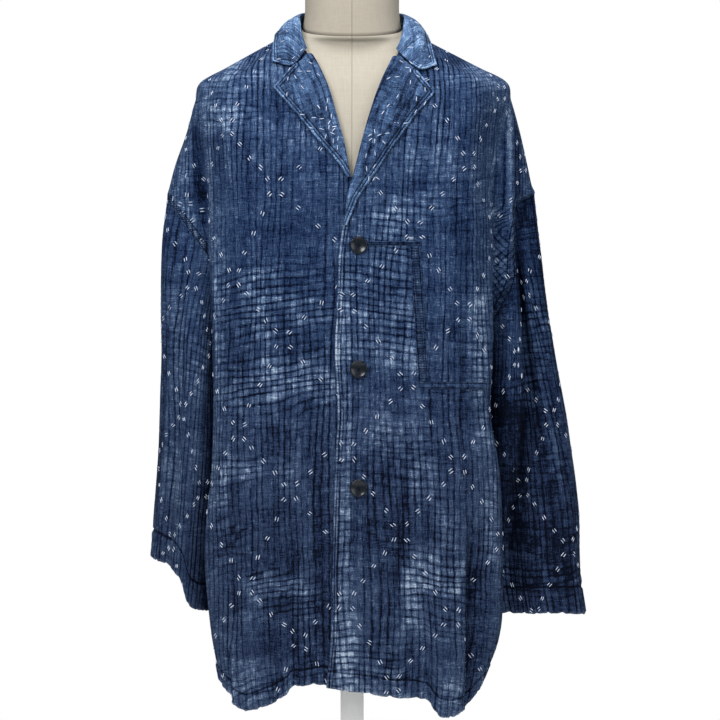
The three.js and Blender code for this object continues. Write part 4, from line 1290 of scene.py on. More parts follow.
def flat_wall(columns: int, rows: int) -> bpy.types.Mesh:
    """A flat closed wall: a fine outside, an inside three times coarser, and a rim.

    Args:
        columns: cells across the outside, a multiple of three.
        rows: cells along it, a multiple of three.

    Returns:
        The wall, from -1 to 1 each way, its outside at height 1.
    """
    bm = bmesh.new()
    bmesh.ops.create_grid(bm, x_segments=columns, y_segments=rows, size=1.0,
                          matrix=Matrix.Translation((0, 0, 1)))
    inner = bmesh.ops.create_grid(bm, x_segments=columns // 3, y_segments=rows // 3, size=1.0,
                                  matrix=Matrix.Translation((0, 0, -1)))
    border = {e for v in inner["verts"] for e in v.link_edges if e.is_boundary}
    bmesh.ops.subdivide_edges(bm, edges=list(border), cuts=2)
    bmesh.ops.bridge_loops(bm, edges=[e for e in bm.edges if e.is_boundary])
    bmesh.ops.recalc_face_normals(bm, faces=bm.faces)
    return mesh_of(bm, "wall")


def ring_wall(turns: int, rows: int) -> bpy.types.Mesh:
    """A closed ring wall: a profile of a fine outside and a coarser inside, spun right round.

    Args:
        turns: cells round it.
        rows: cells along its outside, a multiple of three.

    Returns:
        The ring, its outside at radius 2, its inside at radius 1 and a row for each height.
    """
    profile = [(2, 0, j) for j in range(rows + 1)] + [(1, 0, j) for j in range(rows, -1, -3)]
    return mesh_of(spun(profile, turns, closed=True), "ring")


def whole_numbers(items: Any, key: str, each: int = 1) -> Array:
    """What every item of a mesh holds under a key, a few whole numbers each.

    Args:
        items: its corners, loops or faces.
        key: the key.
        each: how many numbers each item has.

    Returns:
        All of them, in one row.
    """
    found = np.empty(len(items) * each, int)
    items.foreach_get(key, found)
    return found


def face_out(mesh: bpy.types.Mesh) -> None:
    """Turn a closed mesh's faces round if its volume comes out below zero.

    Args:
        mesh: the mesh.
    """
    mesh.update()
    mesh.calc_loop_triangles()
    index = whole_numbers(mesh.loop_triangles, "vertices", 3)
    a, b, c = co_of(mesh)[index.reshape(-1, 3).T]
    if (a * np.cross(b, c)).sum() < 0:
        mesh.flip_normals()
    mesh.update()


def set_uv(mesh: bpy.types.Mesh, values: Array) -> None:
    """Store the cloth's own sizes at each face corner, in metres."""
    mesh.uv_layers.new(name="cloth").data.foreach_set("uv", (values * MM).ravel())


def set_corner(mesh: bpy.types.Mesh, name: str, values: Array) -> None:
    """Store three numbers at each face corner under a name."""
    layer = mesh.attributes.new(name, "FLOAT_VECTOR", "CORNER")
    layer.data.foreach_set("vector", np.ascontiguousarray(values, np.float32).ravel())


def cloth_mesh(cloth: Cloth) -> bpy.types.Mesh:
    """Bend a closed wall to a cloth's grid, with all that its finish reads at its corners.

    Args:
        cloth: the quilted wall.

    Returns:
        The closed mesh, in metres.
    """
    rows, columns = cloth.u.shape
    mesh = ring_wall(rows - 1, columns - 1) if cloth.tube else flat_wall(rows - 1, columns - 1)
    co = co_of(mesh)
    if cloth.tube:
        layer = np.round(np.hypot(co[:, 0], co[:, 1])) > 1
        turned = np.arctan2(co[:, 1], co[:, 0]) / (2 * np.pi)
        i = np.round(turned * (rows - 1)).astype(int) % (rows - 1)
        j = np.round(co[:, 2]).astype(int)
    else:
        layer = co[:, 2] > 0
        i = np.round((co[:, 0] + 1) / 2 * (rows - 1)).astype(int)
        j = np.round((co[:, 1] + 1) / 2 * (columns - 1)).astype(int)
    bent = np.where(layer[:, None], cloth.points[i, j], cloth.inner[i, j]) * MM
    mesh.vertices.foreach_set("co", bent.ravel())
    vertex = whole_numbers(mesh.loops, "vertex_index")
    ci, cj = i[vertex], j[vertex]
    if cloth.tube:
        starts = whole_numbers(mesh.polygons, "loop_start")
        highest = np.repeat(np.maximum.reduceat(ci, starts), np.diff([*starts, len(ci)]))
        ci = np.where((ci == 0) & (highest > rows // 2), rows - 1, ci)
    set_uv(mesh, np.dstack([cloth.u, cloth.v])[ci, cj])
    set_corner(mesh, "puff", np.dstack([cloth.phase, cloth.tone])[ci, cj])
    set_corner(mesh, "sunk", np.dstack([cloth.depth, cloth.rim])[ci, cj])
    set_corner(mesh, "sewn", np.dstack([cloth.turn, cloth.seam, cloth.to_edge])[ci, cj])
    face_out(mesh)
    return mesh


def joined(name: str, template: bpy.types.Mesh, frames: Array, places: Array) -> bpy.types.Mesh:
    """Copies of one small shape, as one mesh.

    Args:
        name: the mesh's name.
        template: the small shape.
        frames: for each copy, where the template's three axes go.
        places: for each copy, where its middle goes.

    Returns:
        The joined mesh.
    """
    co = co_of(template)
    verts = np.einsum("kc,ncd->nkd", co, frames) + places[:, None, :]
    faces = [tuple(p.vertices) for p in template.polygons]
    count = len(co)
    every = [tuple(k + n * count for k in face) for n in range(len(places)) for face in faces]
    mesh = bpy.data.meshes.new(name)
    mesh.from_pydata(verts.reshape(-1, 3).tolist(), [], every)
    mesh.update()
    return mesh


def grain_of_thread(around: int = 6, along: int = 4) -> bpy.types.Mesh:
    """The small round-ended shape of one stitch, one unit from middle to end.

    Args:
        around: cells round it.
        along: cells along it.

    Returns:
        Its mesh.
    """
    bm = bmesh.new()
    bmesh.ops.create_uvsphere(bm, u_segments=around, v_segments=along, radius=1.0)
    return mesh_of(bm, "stitch")


@dataclass
class Thread:
    """Stitches gathered for one joined mesh, in millimetres."""

    name: str
    radius: float = 0.45
    lift: float = 0.2
    starts: list[Array] = field(default_factory=list)
    ends: list[Array] = field(default_factory=list)
    ups: list[Array] = field(default_factory=list)

    def sew(self, start: Array, end: Array, up: Array) -> None:
        """Add stitches from their two ends and the way out of the cloth.

        Args:
            start: their first ends.
            end: their last ends.
            up: the way out of the cloth.
        """
        self.starts.append(start)
        self.ends.append(end)
        self.ups.append(up)

    def sew_line(self, points: Array, up: Array, stitch: float, gap: float) -> None:
        """Sew evenly along a line.

        Args:
            points: the line's points.
            up: the way out of the cloth at each.
            stitch: a stitch's length.
            gap: the length between two stitches.
        """
        run = np.concatenate([[0], np.cumsum(np.linalg.norm(np.diff(points, axis=0), axis=1))])
        starts = np.arange(gap, run[-1] - stitch, stitch + gap)
        read = lambda values, at: np.stack([np.interp(at, run, c) for c in values.T], axis=1)
        self.sew(read(points, starts), read(points, starts + stitch),
                 unit(read(up, starts + stitch / 2)))

    def sew_bars(self, first: Array, last: Array, up: Array, count: int) -> None:
        """Sew a number of short bars, evenly, from one line to another beside it.

        Args:
            first: points of one line.
            last: points of the other.
            up: the way out at the first.
            count: how many places, the two ends included.
        """
        steps = np.arange(len(first))
        at = np.linspace(0, steps[-1], count)[1:-1]
        read = lambda values: np.stack([np.interp(at, steps, c) for c in values.T], axis=1)
        self.sew(read(first), read(last), unit(read(up)))

    def mesh(self) -> bpy.types.Mesh:
        """All the stitches as one mesh, in metres.

        Returns:
            The mesh.
        """
        start, end, up = (np.concatenate(part) for part in (self.starts, self.ends, self.ups))
        along = (end - start) / 2
        across = unit(np.cross(along, up)) * self.radius
        out = unit(np.cross(across, along)) * self.radius
        flip = np.sign((out * up).sum(axis=1, keepdims=True))
        frames = np.stack([across * flip, out * flip, along], axis=1) * MM
        places = ((start + end) / 2 + up * self.lift) * MM
        return joined(self.name, grain_of_thread(), frames, places)


# ------------------------------------------------------------------ shader kit
def linear(*srgb: float) -> tuple[float, float, float, float]:
    """A colour given as 0 to 255, as the shaders take it.

    Args:
        srgb: red, green and blue.

    Returns:
        The colour with its alpha.
    """
    parts = [c / 255 for c in srgb]
    even = [c / 12.92 if c <= 0.04045 else ((c + 0.055) / 1.055) ** 2.4 for c in parts]
    return (even[0], even[1], even[2], 1.0)


class Wire:
    """A shader value, on which arithmetic adds Math nodes."""

    def __init__(self, recipe: "Recipe", socket: bpy.types.NodeSocket) -> None:
        """Hold an output socket.

        Args:
            recipe: the finish it belongs to.
            socket: the output.
        """
        self.recipe = recipe
        self.socket = socket

    def math(self, operation: str, *others: Any) -> "Wire":
        """The result of a Math node on this value and others."""
        return self.recipe.node("ShaderNodeMath", {"operation": operation}, [self, *others])[0]

    def __add__(self, other: Any) -> "Wire":
        """Sum."""
        return self.math("ADD", other)

    __radd__ = __add__

    def __sub__(self, other: Any) -> "Wire":
        """Difference."""
        return self.math("SUBTRACT", other)

    def __rsub__(self, other: Any) -> "Wire":
        """Difference from a number."""
        return self.recipe.node("ShaderNodeMath", {"operation": "SUBTRACT"}, [other, self])[0]

    def __mul__(self, other: Any) -> "Wire":
        """Product."""
        return self.math("MULTIPLY", other)

    __rmul__ = __mul__

    def size(self) -> "Wire":
        """The value without its sign."""
        return self.math("ABSOLUTE")

    def most(self, other: Any) -> "Wire":
        """The larger of two."""
        return self.math("MAXIMUM", other)

    def cosine(self) -> "Wire":
        """Its cosine."""
        return self.math("COSINE")

    def step(self, low: float, high: float) -> "Wire":
        """An eased step from 0 at low to 1 at high; either may be the larger.

        Args:
            low: where it is 0.
            high: where it is 1.

        Returns:
            The step.
        """
        kind = {"interpolation_type": "SMOOTHSTEP"}
        if low < high:
            return self.recipe.node("ShaderNodeMapRange", kind, [self, low, high, 0.0, 1.0])[0]
        return self.recipe.node("ShaderNodeMapRange", kind, [self, high, low, 1.0, 0.0])[0]

    def peak(self, centre: float, half: float) -> "Wire":
        """A soft peak of 1 at a value, gone half away from it."""
        return (self - centre).size().step(half, 0.0)


class Recipe:
    """A material under construction."""

    def __init__(self, name: str) -> None:
        """Start a material with its shader.

        Args:
            name: the material's name.
        """
        self.material = bpy.data.materials.new(name)
        self.material.use_nodes = True
        self.tree = self.material.node_tree
        self.tree.nodes.clear()
        self.shader = self.tree.nodes.new("ShaderNodeBsdfPrincipled")
        self.out = self.tree.nodes.new("ShaderNodeOutputMaterial")
        self.tree.links.new(self.shader.outputs[0], self.out.inputs[0])

    def node(self, kind: str, settings: dict[str, Any], inputs: Any = ()) -> list[Wire]:
        """Add a node.

        Args:
            kind: the node's type.
            settings: its properties; a ramp's stops go under stops.
            inputs: values or wires, in order or by name.

        Returns:
            Its outputs.
        """
        made = self.tree.nodes.new(kind)
        for key, value in settings.items():
            if key == "stops":
                ramp = made.color_ramp.elements
                while len(ramp) < len(value):
                    ramp.new(0.5)
                for element, (place, colour) in zip(ramp, value):
                    element.position, element.color = place, colour
            else:
                setattr(made, key, value)
        pairs = inputs.items() if isinstance(inputs, dict) else enumerate(inputs)
        for key, value in pairs:
            self.feed(made.inputs[key], value)
        return [Wire(self, socket) for socket in made.outputs if socket.enabled]

    def feed(self, socket: bpy.types.NodeSocket, value: Any) -> None:
        """Set a socket, or link a wire to it.

        Args:
            socket: the input.
            value: what goes in.
        """
        if isinstance(value, Wire):
            self.tree.links.new(value.socket, socket)
        else:
            socket.default_value = value

    def finish(self, bump: Wire | None = None, **sockets: Any) -> bpy.types.Material:
        """Feed the shader.

        Args:
            bump: a height in millimetres for the bump.
            sockets: shader sockets by name, with _ for a space.

        Returns:
            The material.
        """
        for name, value in sockets.items():
            self.feed(self.shader.inputs[name.replace("_", " ")], value)
        if bump is not None:
            raised = self.node("ShaderNodeBump", {}, {"Strength": 1.0, "Distance": MM,
                                                      "Height": bump})
            self.feed(self.shader.inputs["Normal"], raised[0])
        return self.material

    def corner(self, name: str) -> list[Wire]:
        """The three numbers stored at face corners under a name."""
        stored = self.node("ShaderNodeAttribute", {"attribute_name": name})
        return self.node("ShaderNodeSeparateXYZ", {}, [stored[1]])

    def noise(self, vector: Wire, stretch: tuple[float, float, float], detail: float = 2.0,
              seed: float = 0.0) -> Wire:
        """Soft noise about 0, stretched.

        Args:
            vector: where it's read, in metres.
            stretch: how many turns it has in a metre, each way.
            detail: how fine it goes on.
            seed: shifts it.

        Returns:
            Values from about -0.5 to 0.5.
        """
        place = self.node("ShaderNodeMapping", {}, {
            "Vector": vector, "Location": (seed, seed * 0.7, seed * 1.3), "Scale": stretch})
        cloud = self.node("ShaderNodeTexNoise", {}, {"Vector": place[0], "Scale": 1.0,
                                                     "Detail": detail, "Roughness": 0.55})
        return cloud[0] - 0.5

    def ramp(self, value: Wire, stops: Sequence[tuple[float, Sequence[float]]]) -> Wire:
        """A colour ramp from stops of places and 0 to 255 colours."""
        made = [(place, linear(*colour)) for place, colour in stops]
        return self.node("ShaderNodeValToRGB", {"stops": made}, [value])[0]


# ------------------------------------------------------------------ finishes
@dataclass(frozen=True)
class Indigo:
    """Puckered double gauze in washed indigo, paler on its puffs and at its frayed edges."""

    name: str = "washed_indigo"
    stops: tuple[tuple[float, tuple[int, int, int]], ...] = (
        (0.0, (4, 10, 25)), (0.15, (18, 33, 62)), (0.33, (35, 52, 81)), (0.5, (51, 69, 98)),
        (0.68, (77, 96, 125)), (0.85, (110, 129, 155)), (1.0, (152, 167, 185)),
    )
    troughs: float = 1.0

    def make(self) -> bpy.types.Material:
        """The material.

        Returns:
            The finished material.
        """
        r = Recipe(self.name)
        uv = r.node("ShaderNodeUVMap", {"uv_map": "cloth"})[0]
        phase_u, phase_v, tone = r.corner("puff")
        down, across, rim = r.corner("sunk")
        turn, seam, to_edge = r.corner("sewn")
        streak_v = r.noise(uv, (760, 95, 1), 3, 1.7)
        streak_u = r.noise(uv, (120, 800, 1), 3, 5.1)
        grain = r.noise(uv, (640, 640, 1), 2, 9.3)
        slub = streak_v.step(0.07, 0.22) + streak_u.step(0.07, 0.22)
        speck = r.noise(uv, (880, 260, 1), 1, 21.6).step(0.14, 0.24)
        blot = r.noise(uv, (110, 110, 1), 2, 3.9)
        broken_v = 1.0 + 2.2 * r.noise(uv, (210, 48, 1), 2, 12.4)
        broken_u = 1.0 + 2.2 * r.noise(uv, (60, 210, 1), 2, 15.8)
        wobble_u = phase_u + 0.34 * blot + 0.16 * grain
        wobble_v = phase_v - 0.34 * blot + 0.18 * grain
        line_u = (self.line(wobble_u) + 0.4 * self.line(wobble_u + 0.5) * broken_u) * down
        line_v = (self.line(wobble_v) + 0.3 * self.line(wobble_v + 0.5) * broken_v) * across
        line_u, line_v = line_u * broken_v, line_v * broken_u
        dome_u = self.dome(wobble_u) * down
        dome_v = self.dome(wobble_v) * across
        puff = self.puff(r, wobble_u, wobble_v)
        frayed = rim.peak(CORD_LINES[0], 1.7) + rim.peak(CORD_LINES[1], 1.5) * 0.5
        sunk = rim.peak(CORD_ROWS[0], 1.1).most(rim.peak(CORD_ROWS[1], 1.3))
        felled = seam.peak(FELLED_ROWS[0], 1.5).most(seam.peak(FELLED_ROWS[1], 1.5))
        sewn = turn.peak(0.0, 2.4).most(felled)
        edge = to_edge.step(4.0, 0.5)
        # Paler puff tops and dark trough lines: partly the cloth's own fading, partly painted
        # light on the puffs and painted shade in the troughs.
        shade = tone + 0.12 * dome_u + 0.11 * dome_v + 0.10 * puff * (0.5 + across)
        shade = shade - self.troughs * (0.22 * line_u + 0.20 * line_v)
        shade = shade + 0.62 * streak_v + 0.58 * streak_u + 0.66 * grain + 0.16 * blot
        shade = shade + (slub + speck) * (0.04 + 0.24 * tone)
        shade = shade + frayed * (0.13 + 0.6 * grain) + edge * 0.14
        shade = shade - 0.26 * sunk - 0.34 * sewn
        height = 0.34 * streak_v + 0.30 * streak_u + 0.34 * grain
        height = height - self.troughs * (0.50 * line_u + 0.42 * line_v)
        height = height - 0.3 * sunk - 0.3 * sewn
        spot = r.node("ShaderNodeTexCoord", {})[3]
        low = r.node("ShaderNodeSeparateXYZ", {}, [spot])[2].step(0.75, 0.35)
        greyed = r.node("ShaderNodeHueSaturation", {}, {
            "Saturation": 1.0 - 0.09 * low - 0.08 * edge, "Value": 1.0 - 0.10 * low,
            "Color": r.ramp(shade, self.stops)})
        return r.finish(
            bump=height,
            Base_Color=greyed[0],
            Roughness=0.95,
            Specular_IOR_Level=0.04,
        )

    @staticmethod
    def line(phase: Wire) -> Wire:
        """A narrow line along each trough."""
        return ((phase.math("FRACT") - 0.5).size() * 2).step(0.60, 1.0)

    @staticmethod
    def dome(phase: Wire) -> Wire:
        """A round rise between troughs, from -1 to 1."""
        return 0.0 - (phase * (2 * math.pi)).cosine()

    @staticmethod
    def puff(r: Recipe, across: Wire, along: Wire) -> Wire:
        """Each puff's own fading, from -1 to 1.

        Args:
            r: the finish.
            across: troughs counted across.
            along: troughs counted along.

        Returns:
            The fading.
        """
        cell = r.node("ShaderNodeCombineXYZ", {}, [across.math("FLOOR"), along.math("FLOOR")])
        own = r.node("ShaderNodeTexWhiteNoise", {"noise_dimensions": "2D"}, {"Vector": cell[0]})
        return own[0] * 2 - 1.0


FADED_STOPS = (
    (0.0, (8, 14, 28)), (0.15, (21, 34, 58)), (0.33, (43, 61, 90)), (0.5, (61, 83, 115)),
    (0.68, (87, 113, 149)), (0.85, (118, 144, 177)), (1.0, (156, 177, 201)),
)


@dataclass(frozen=True)
class Linen:
    """Plain-woven natural linen stretched over the form."""

    name: str = "natural_linen"
    pale: tuple[int, int, int] = (166, 160, 148)
    dark: tuple[int, int, int] = (147, 141, 128)

    def make(self) -> bpy.types.Material:
        """The material.

        Returns:
            The finished material.
        """
        r = Recipe(self.name)
        uv = r.node("ShaderNodeUVMap", {"uv_map": "cloth"})[0]
        seam, _, _ = r.corner("sewn")
        up = r.noise(uv, (1500, 90, 1), 2, 2.0)
        over = r.noise(uv, (90, 1500, 1), 2, 6.0)
        cloud = r.noise(uv, (14, 14, 1), 2, 8.0)
        line = seam.peak(0.0, 0.9)
        shade = 0.5 + 0.7 * up + 0.7 * over + 0.35 * cloud - 0.5 * line
        return r.finish(
            bump=0.10 * up + 0.10 * over - 0.5 * line,
            Base_Color=r.ramp(shade, [(0.0, self.dark), (1.0, self.pale)]),
            Roughness=0.9,
            Specular_IOR_Level=0.2,
        )


@dataclass(frozen=True)
class Yarn:
    """Soft cotton thread."""

    name: str
    dark: tuple[int, int, int]
    pale: tuple[int, int, int]

    def make(self) -> bpy.types.Material:
        """The material.

        Returns:
            The finished material.
        """
        r = Recipe(self.name)
        place = r.node("ShaderNodeTexCoord", {})[3]
        tint = r.noise(place, (60, 60, 60), 3, 1.0)
        twist = r.noise(place, (1500, 1500, 1500), 2, 4.0)
        shade = 0.5 + 1.6 * tint + 0.8 * twist
        return r.finish(
            bump=0.12 * twist,
            Base_Color=r.ramp(shade, [(0.0, self.dark), (1.0, self.pale)]),
            Roughness=0.85,
            Specular_IOR_Level=0.12,
        )


@dataclass(frozen=True)
class Gloss:
    """A hard finish with faint cloudiness: button plastic or paint."""

    name: str
    dark: tuple[int, int, int]
    pale: tuple[int, int, int]
    rough: float
    shine: float = 0.5

    def make(self) -> bpy.types.Material:
        """The material.

        Returns:
            The finished material.
        """
        r = Recipe(self.name)
        place = r.node("ShaderNodeTexCoord", {})[3]
        cloud = r.noise(place, (260, 260, 90), 4, 2.0)
        fine = r.noise(place, (2200, 2200, 2200), 2, 7.0)
        return r.finish(
            bump=0.03 * cloud + 0.01 * fine,
            Base_Color=r.ramp(0.5 + 1.2 * cloud, [(0.0, self.dark), (1.0, self.pale)]),
            Roughness=(self.rough + 0.25 * cloud + 0.15 * fine),
            Specular_IOR_Level=self.shine,
        )


# ------------------------------------------------------------------ the jacket's pieces
HEM_DEPTH = 22.0
CUFF_DEPTH = 33.0
SLEEVE_MIDDLE = 170.0
WELT = 13.0
FRONT_CELLS = (156, 297)
BACK_CELLS = (282, 285)
SLEEVE_CELLS = (168, 189)
COLLAR_CELLS = (60, 240)
LAPEL_CELLS = (48, 117)
ROLL_CELLS = 12
LOWEST, HIGHEST = 22.0, 820.0
GIRTHS = (120, 300, 450, 600)
GROWN_FROM = 560
CORD_END = (600, 660)
BIAS_FROM, BIAS_TO = (450, 475), (575, 610)
LAPPED = (22, 34)
LAPPED_SHARE = 0.12
EDGE_FINE = (0.9, 1.7, 2.6, 3.4, 4.3, 5.1, 6.0, 7.0, 8.2, 9.6)


def grown(points: Array, column: int) -> Array:
    """How much longer the cloth is than it is high, up one column of a grid.

    Args:
        points: the grid.
        column: which column.

    Returns:
        The extra length at each row.
    """
    step = np.diff(points[column], axis=0)
    extra = np.hypot(step[:, 1], step[:, 2]) - step[:, 2]
    extra = np.where(points[column, 1:, 2] > GROWN_FROM, extra, 0.0)
    return np.concatenate([[0.0], np.cumsum(extra)])


def inset_borders(points: Array, tube: bool = False) -> Array:
    """Step a grid's borders towards its middle, so that seams stay apart.

    Args:
        points: the grid.
        tube: whether only its ends are borders.

    Returns:
        The stepped grid.
    """
    done = points.copy()
    ends = [(np.s_[:, 0], np.s_[:, 1]), (np.s_[:, -1], np.s_[:, -2])]
    if not tube:
        ends += [(np.s_[0], np.s_[1]), (np.s_[-1], np.s_[-2])]
    for at, beside in ends:
        done[at] = done[at] + unit(points[beside] - points[at]) * SEAM_INSET
    return done


def felled(to_seam: Array, in_hole: Array) -> tuple[Array, Array]:
    """The felled band beside an armhole.

    Args:
        to_seam: distance to the seam.
        in_hole: 1 beside the armhole.

    Returns:
        The distance to the seam, FAR away from the armhole, and where the band is raised.
    """
    seam = np.where(in_hole > 0.5, to_seam, FAR)
    return seam, in_hole * (1 - smooth(WELT - 1.5, WELT + 0.5, to_seam))


HEM_RISE = {
    Side.RIGHT: Table("x rise", [
        [-20, 7], [40, 6.5], [58, 5.5], [69, 10.5], [73, 9], [76, 4.5], [90, 3], [104, 6],
        [118, 5], [128, 0], [142, 0], [146, 6.5], [156, 5],
    ]),
    Side.LEFT: Table("x rise", [
        [-30, 5], [0, 2.5], [40, 0], [54, 0], [70, 8], [86, 14], [90, 12], [97, 4], [104, 0],
        [142, 0], [146, 4], [156, 3],
    ]),
}
RISE_REACH = 80.0


def rubbed(wall: Array) -> Array:
    """1 along folds turning away to the side, paled there by wear and by painted rim light."""
    return np.exp(-((np.abs(wall[..., 0]) - 0.72) / 0.22) ** 2)


def front_cloth(side: Side) -> Cloth:
    """One front's wall, before it is quilted.

    Args:
        side: the wearer's side.

    Returns:
        The wall.
    """
    front = FRONTS[side]
    columns, rows = FRONT_CELLS
    shares = spread(front.spots, 0, 1, GIRTHS, columns + 1, EDGE_FINE)
    levels = np.linspace(LOWEST, HIGHEST, rows + 1)
    share, level = np.meshgrid(shares, levels, indexing="ij")
    points = front.spots(share, level)
    seam_points = points[-1]
    toward = edge_direction(side, levels, seam_points)
    wall = unit(mix(grid_normals(points), toward[None], smooth(0.9, 1, share)[..., None]))
    run = run_across(points)
    chest = int(np.argmin(np.abs(shares - front.net.stations[1])))
    u = run + points[0, :, 0]
    v = points[..., 2] + grown(points, chest)
    turn = run_along(points) - HEM_DEPTH
    to_seam = run[-1] - run
    under, top = ARMHOLE[side]
    in_hole = smooth(under - 4, under + 6, level) * (1 - smooth(top - 2, top + 6, level))
    to_top = run_along(points)[:, -1:] - run_along(points)
    seam, welt = felled(to_seam, in_hole)
    calm = smooth(0, 3, to_seam) * smooth(0, 8, to_top)
    rim, bias, stations = None, None, front.net.stations
    if side is Side.RIGHT:
        calm = calm * mix(LAPPED_SHARE, 1, smooth(*LAPPED, points[..., 0]))
    else:
        rim = run + FAR * smooth(*CORD_END, level)
        bias = smooth(stations[4] - 0.006, stations[4] + 0.006, share)
        bias = bias * smooth(*BIAS_FROM, level) * (1 - smooth(*BIAS_TO, level))
    # Folds that turn to the side; they are paled later, partly as wear and partly as painted rim
    # light.
    worn = rubbed(wall) * smooth(stations[2], stations[3], share)
    cloth = Cloth(f"front_{side.key}", placed(inset_borders(points), side.value),
                  wall * [side.value, 1, 1], u, v, rim=rim, turn=turn, seam=seam, welt=welt,
                  bias=bias, worn=worn, calm=calm)
    rise = np.interp(points[..., 0], HEM_RISE[side]["x"], HEM_RISE[side]["rise"])
    cloth.scallop(-rise * calm, RISE_REACH)
    return cloth


def back_cloth() -> Cloth:
    """The back's wall, before it is quilted.

    Returns:
        The wall.
    """
    columns, rows = BACK_CELLS
    half = spread(BACK.spots, 0, 1, GIRTHS, columns // 2 + 1)
    shares = np.concatenate([-half[:0:-1], half])
    levels = np.linspace(LOWEST, HIGHEST, rows + 1)
    share, level = np.meshgrid(shares, levels, indexing="ij")
    points = BACK.spots(share, level)
    wall = -grid_normals(points)
    run = run_across(points)
    middle = columns // 2
    u = run - run[middle]
    v = points[..., 2] + grown(points * [1, -1, 1], middle + columns // 6)
    climb = run_along(points)
    to_seam = np.minimum(run, run[-1] - run)
    to_neck = climb[:, -1:] - climb
    seam, welt = np.full(u.shape, FAR), np.zeros(u.shape)
    for side in Side:
        end = 0 if side is Side.RIGHT else -1
        toward = edge_direction(side, levels, points[end] * [side.value, 1, 1])
        toward = toward * [side.value, 1, 1]
        here = smooth(0.9, 1, share * side.value)[..., None]
        wall = unit(mix(wall, toward[None], here))
        under, top = ARMHOLE[side]
        in_hole = (level > under) & (level < top) & (share * side.value > 0)
        own, raised = felled(to_seam, in_hole.astype(float))
        seam, welt = np.minimum(seam, own), np.maximum(welt, raised)
    calm = smooth(0, 3, to_seam) * smooth(0, 8, to_neck)
    return Cloth("back", placed(inset_borders(points)), wall, u, v,
                 turn=climb - HEM_DEPTH, seam=seam, welt=welt, calm=calm)


def sleeve_cloth(side: Side) -> Cloth:
    """One sleeve's wall, a tube whose seam runs along the underarm.

    Args:
        side: the wearer's side.

    Returns:
        The wall.
    """
    sleeve = SLEEVES[side]
    around, rows = SLEEVE_CELLS
    turns = spread(sleeve.spots, 0.5, 1.5, (0.1, 0.4, 0.8), around + 1)
    alongs = spread(lambda a, b: sleeve.spots(b, a), 0, 1, (0.1, 0.25, 0.8), rows + 1)
    turn, along = np.meshgrid(turns, alongs, indexing="ij")
    points = sleeve.spots(turn, along)
    points[-1] = points[0]
    own = grid_normals(points)
    ring = unit(own[0] + own[-1])
    own[0], own[-1] = ring, ring
    hole = armhole_direction(side, sleeve.armhole(turn[:, :1] % 1.0))
    wall = unit(mix(hole, own, smooth(0, SLEEVE_REACH, along)[..., None]))
    low, high = points[:, -1].mean(axis=0), points[:, 0].mean(axis=0)
    axis = unit(high - low)
    round_it = run_across(points)[:, alongs > 0.4].mean(axis=1, keepdims=True)
    middle = round_it[int(np.argmin(np.abs(turns - 1.0)))]
    u = np.repeat(round_it - middle + SLEEVE_MIDDLE, rows + 1, axis=1)
    v = (points - low) @ axis
    climb = run_along(points)
    to_cuff = climb[:, -1:] - climb
    points[:, 0] += unit(points[:, 1] - points[:, 0]) * SEAM_INSET
    under = np.minimum(u - u[:1], u[-1:] - u)
    calm = smooth(0, 5, climb) * mix(0.35, 1.0, smooth(14, 40, under))
    return Cloth(f"sleeve_{side.key}", placed(points, side.value), wall * [side.value, 1, 1],
                 u, v, tube=True, turn=to_cuff - CUFF_DEPTH, hem=CUFF_DEPTH,
                 seam=u - u[:1] + FELLED_ROWS[0], calm=calm)


def collar_cloth() -> Cloth:
    """The folded collar: stand, crest and fall, from one front end to the other.

    Returns:
        The wall.
    """
    net = collar_net()
    shares = spread(net.spots, 0, 1, (-0.8, -0.4, 0.4, 0.8), COLLAR_CELLS[0] + 1)
    rounds = spread(lambda a, b: net.spots(b, a), -1, 1, (0.5, 0.9), COLLAR_CELLS[1] + 1)
    share, level = np.meshgrid(shares, rounds, indexing="ij")
    points = net.spots(share, level)
    wall = -grid_normals(points)
    run, climb = run_across(points), run_along(points)
    ends = np.minimum(climb, climb[:, -1:] - climb)
    on_fall = smooth(0.42, 0.55, share)
    rim = np.minimum(run[-1] - run, ends + 40 * (1 - on_fall))
    u = climb - climb[:, climb.shape[1] // 2][:, None]
    calm = smooth(0, 5, run) * mix(0.35, 1, on_fall)
    return Cloth("collar", placed(points), wall, u, run, rim=rim, calm=calm)


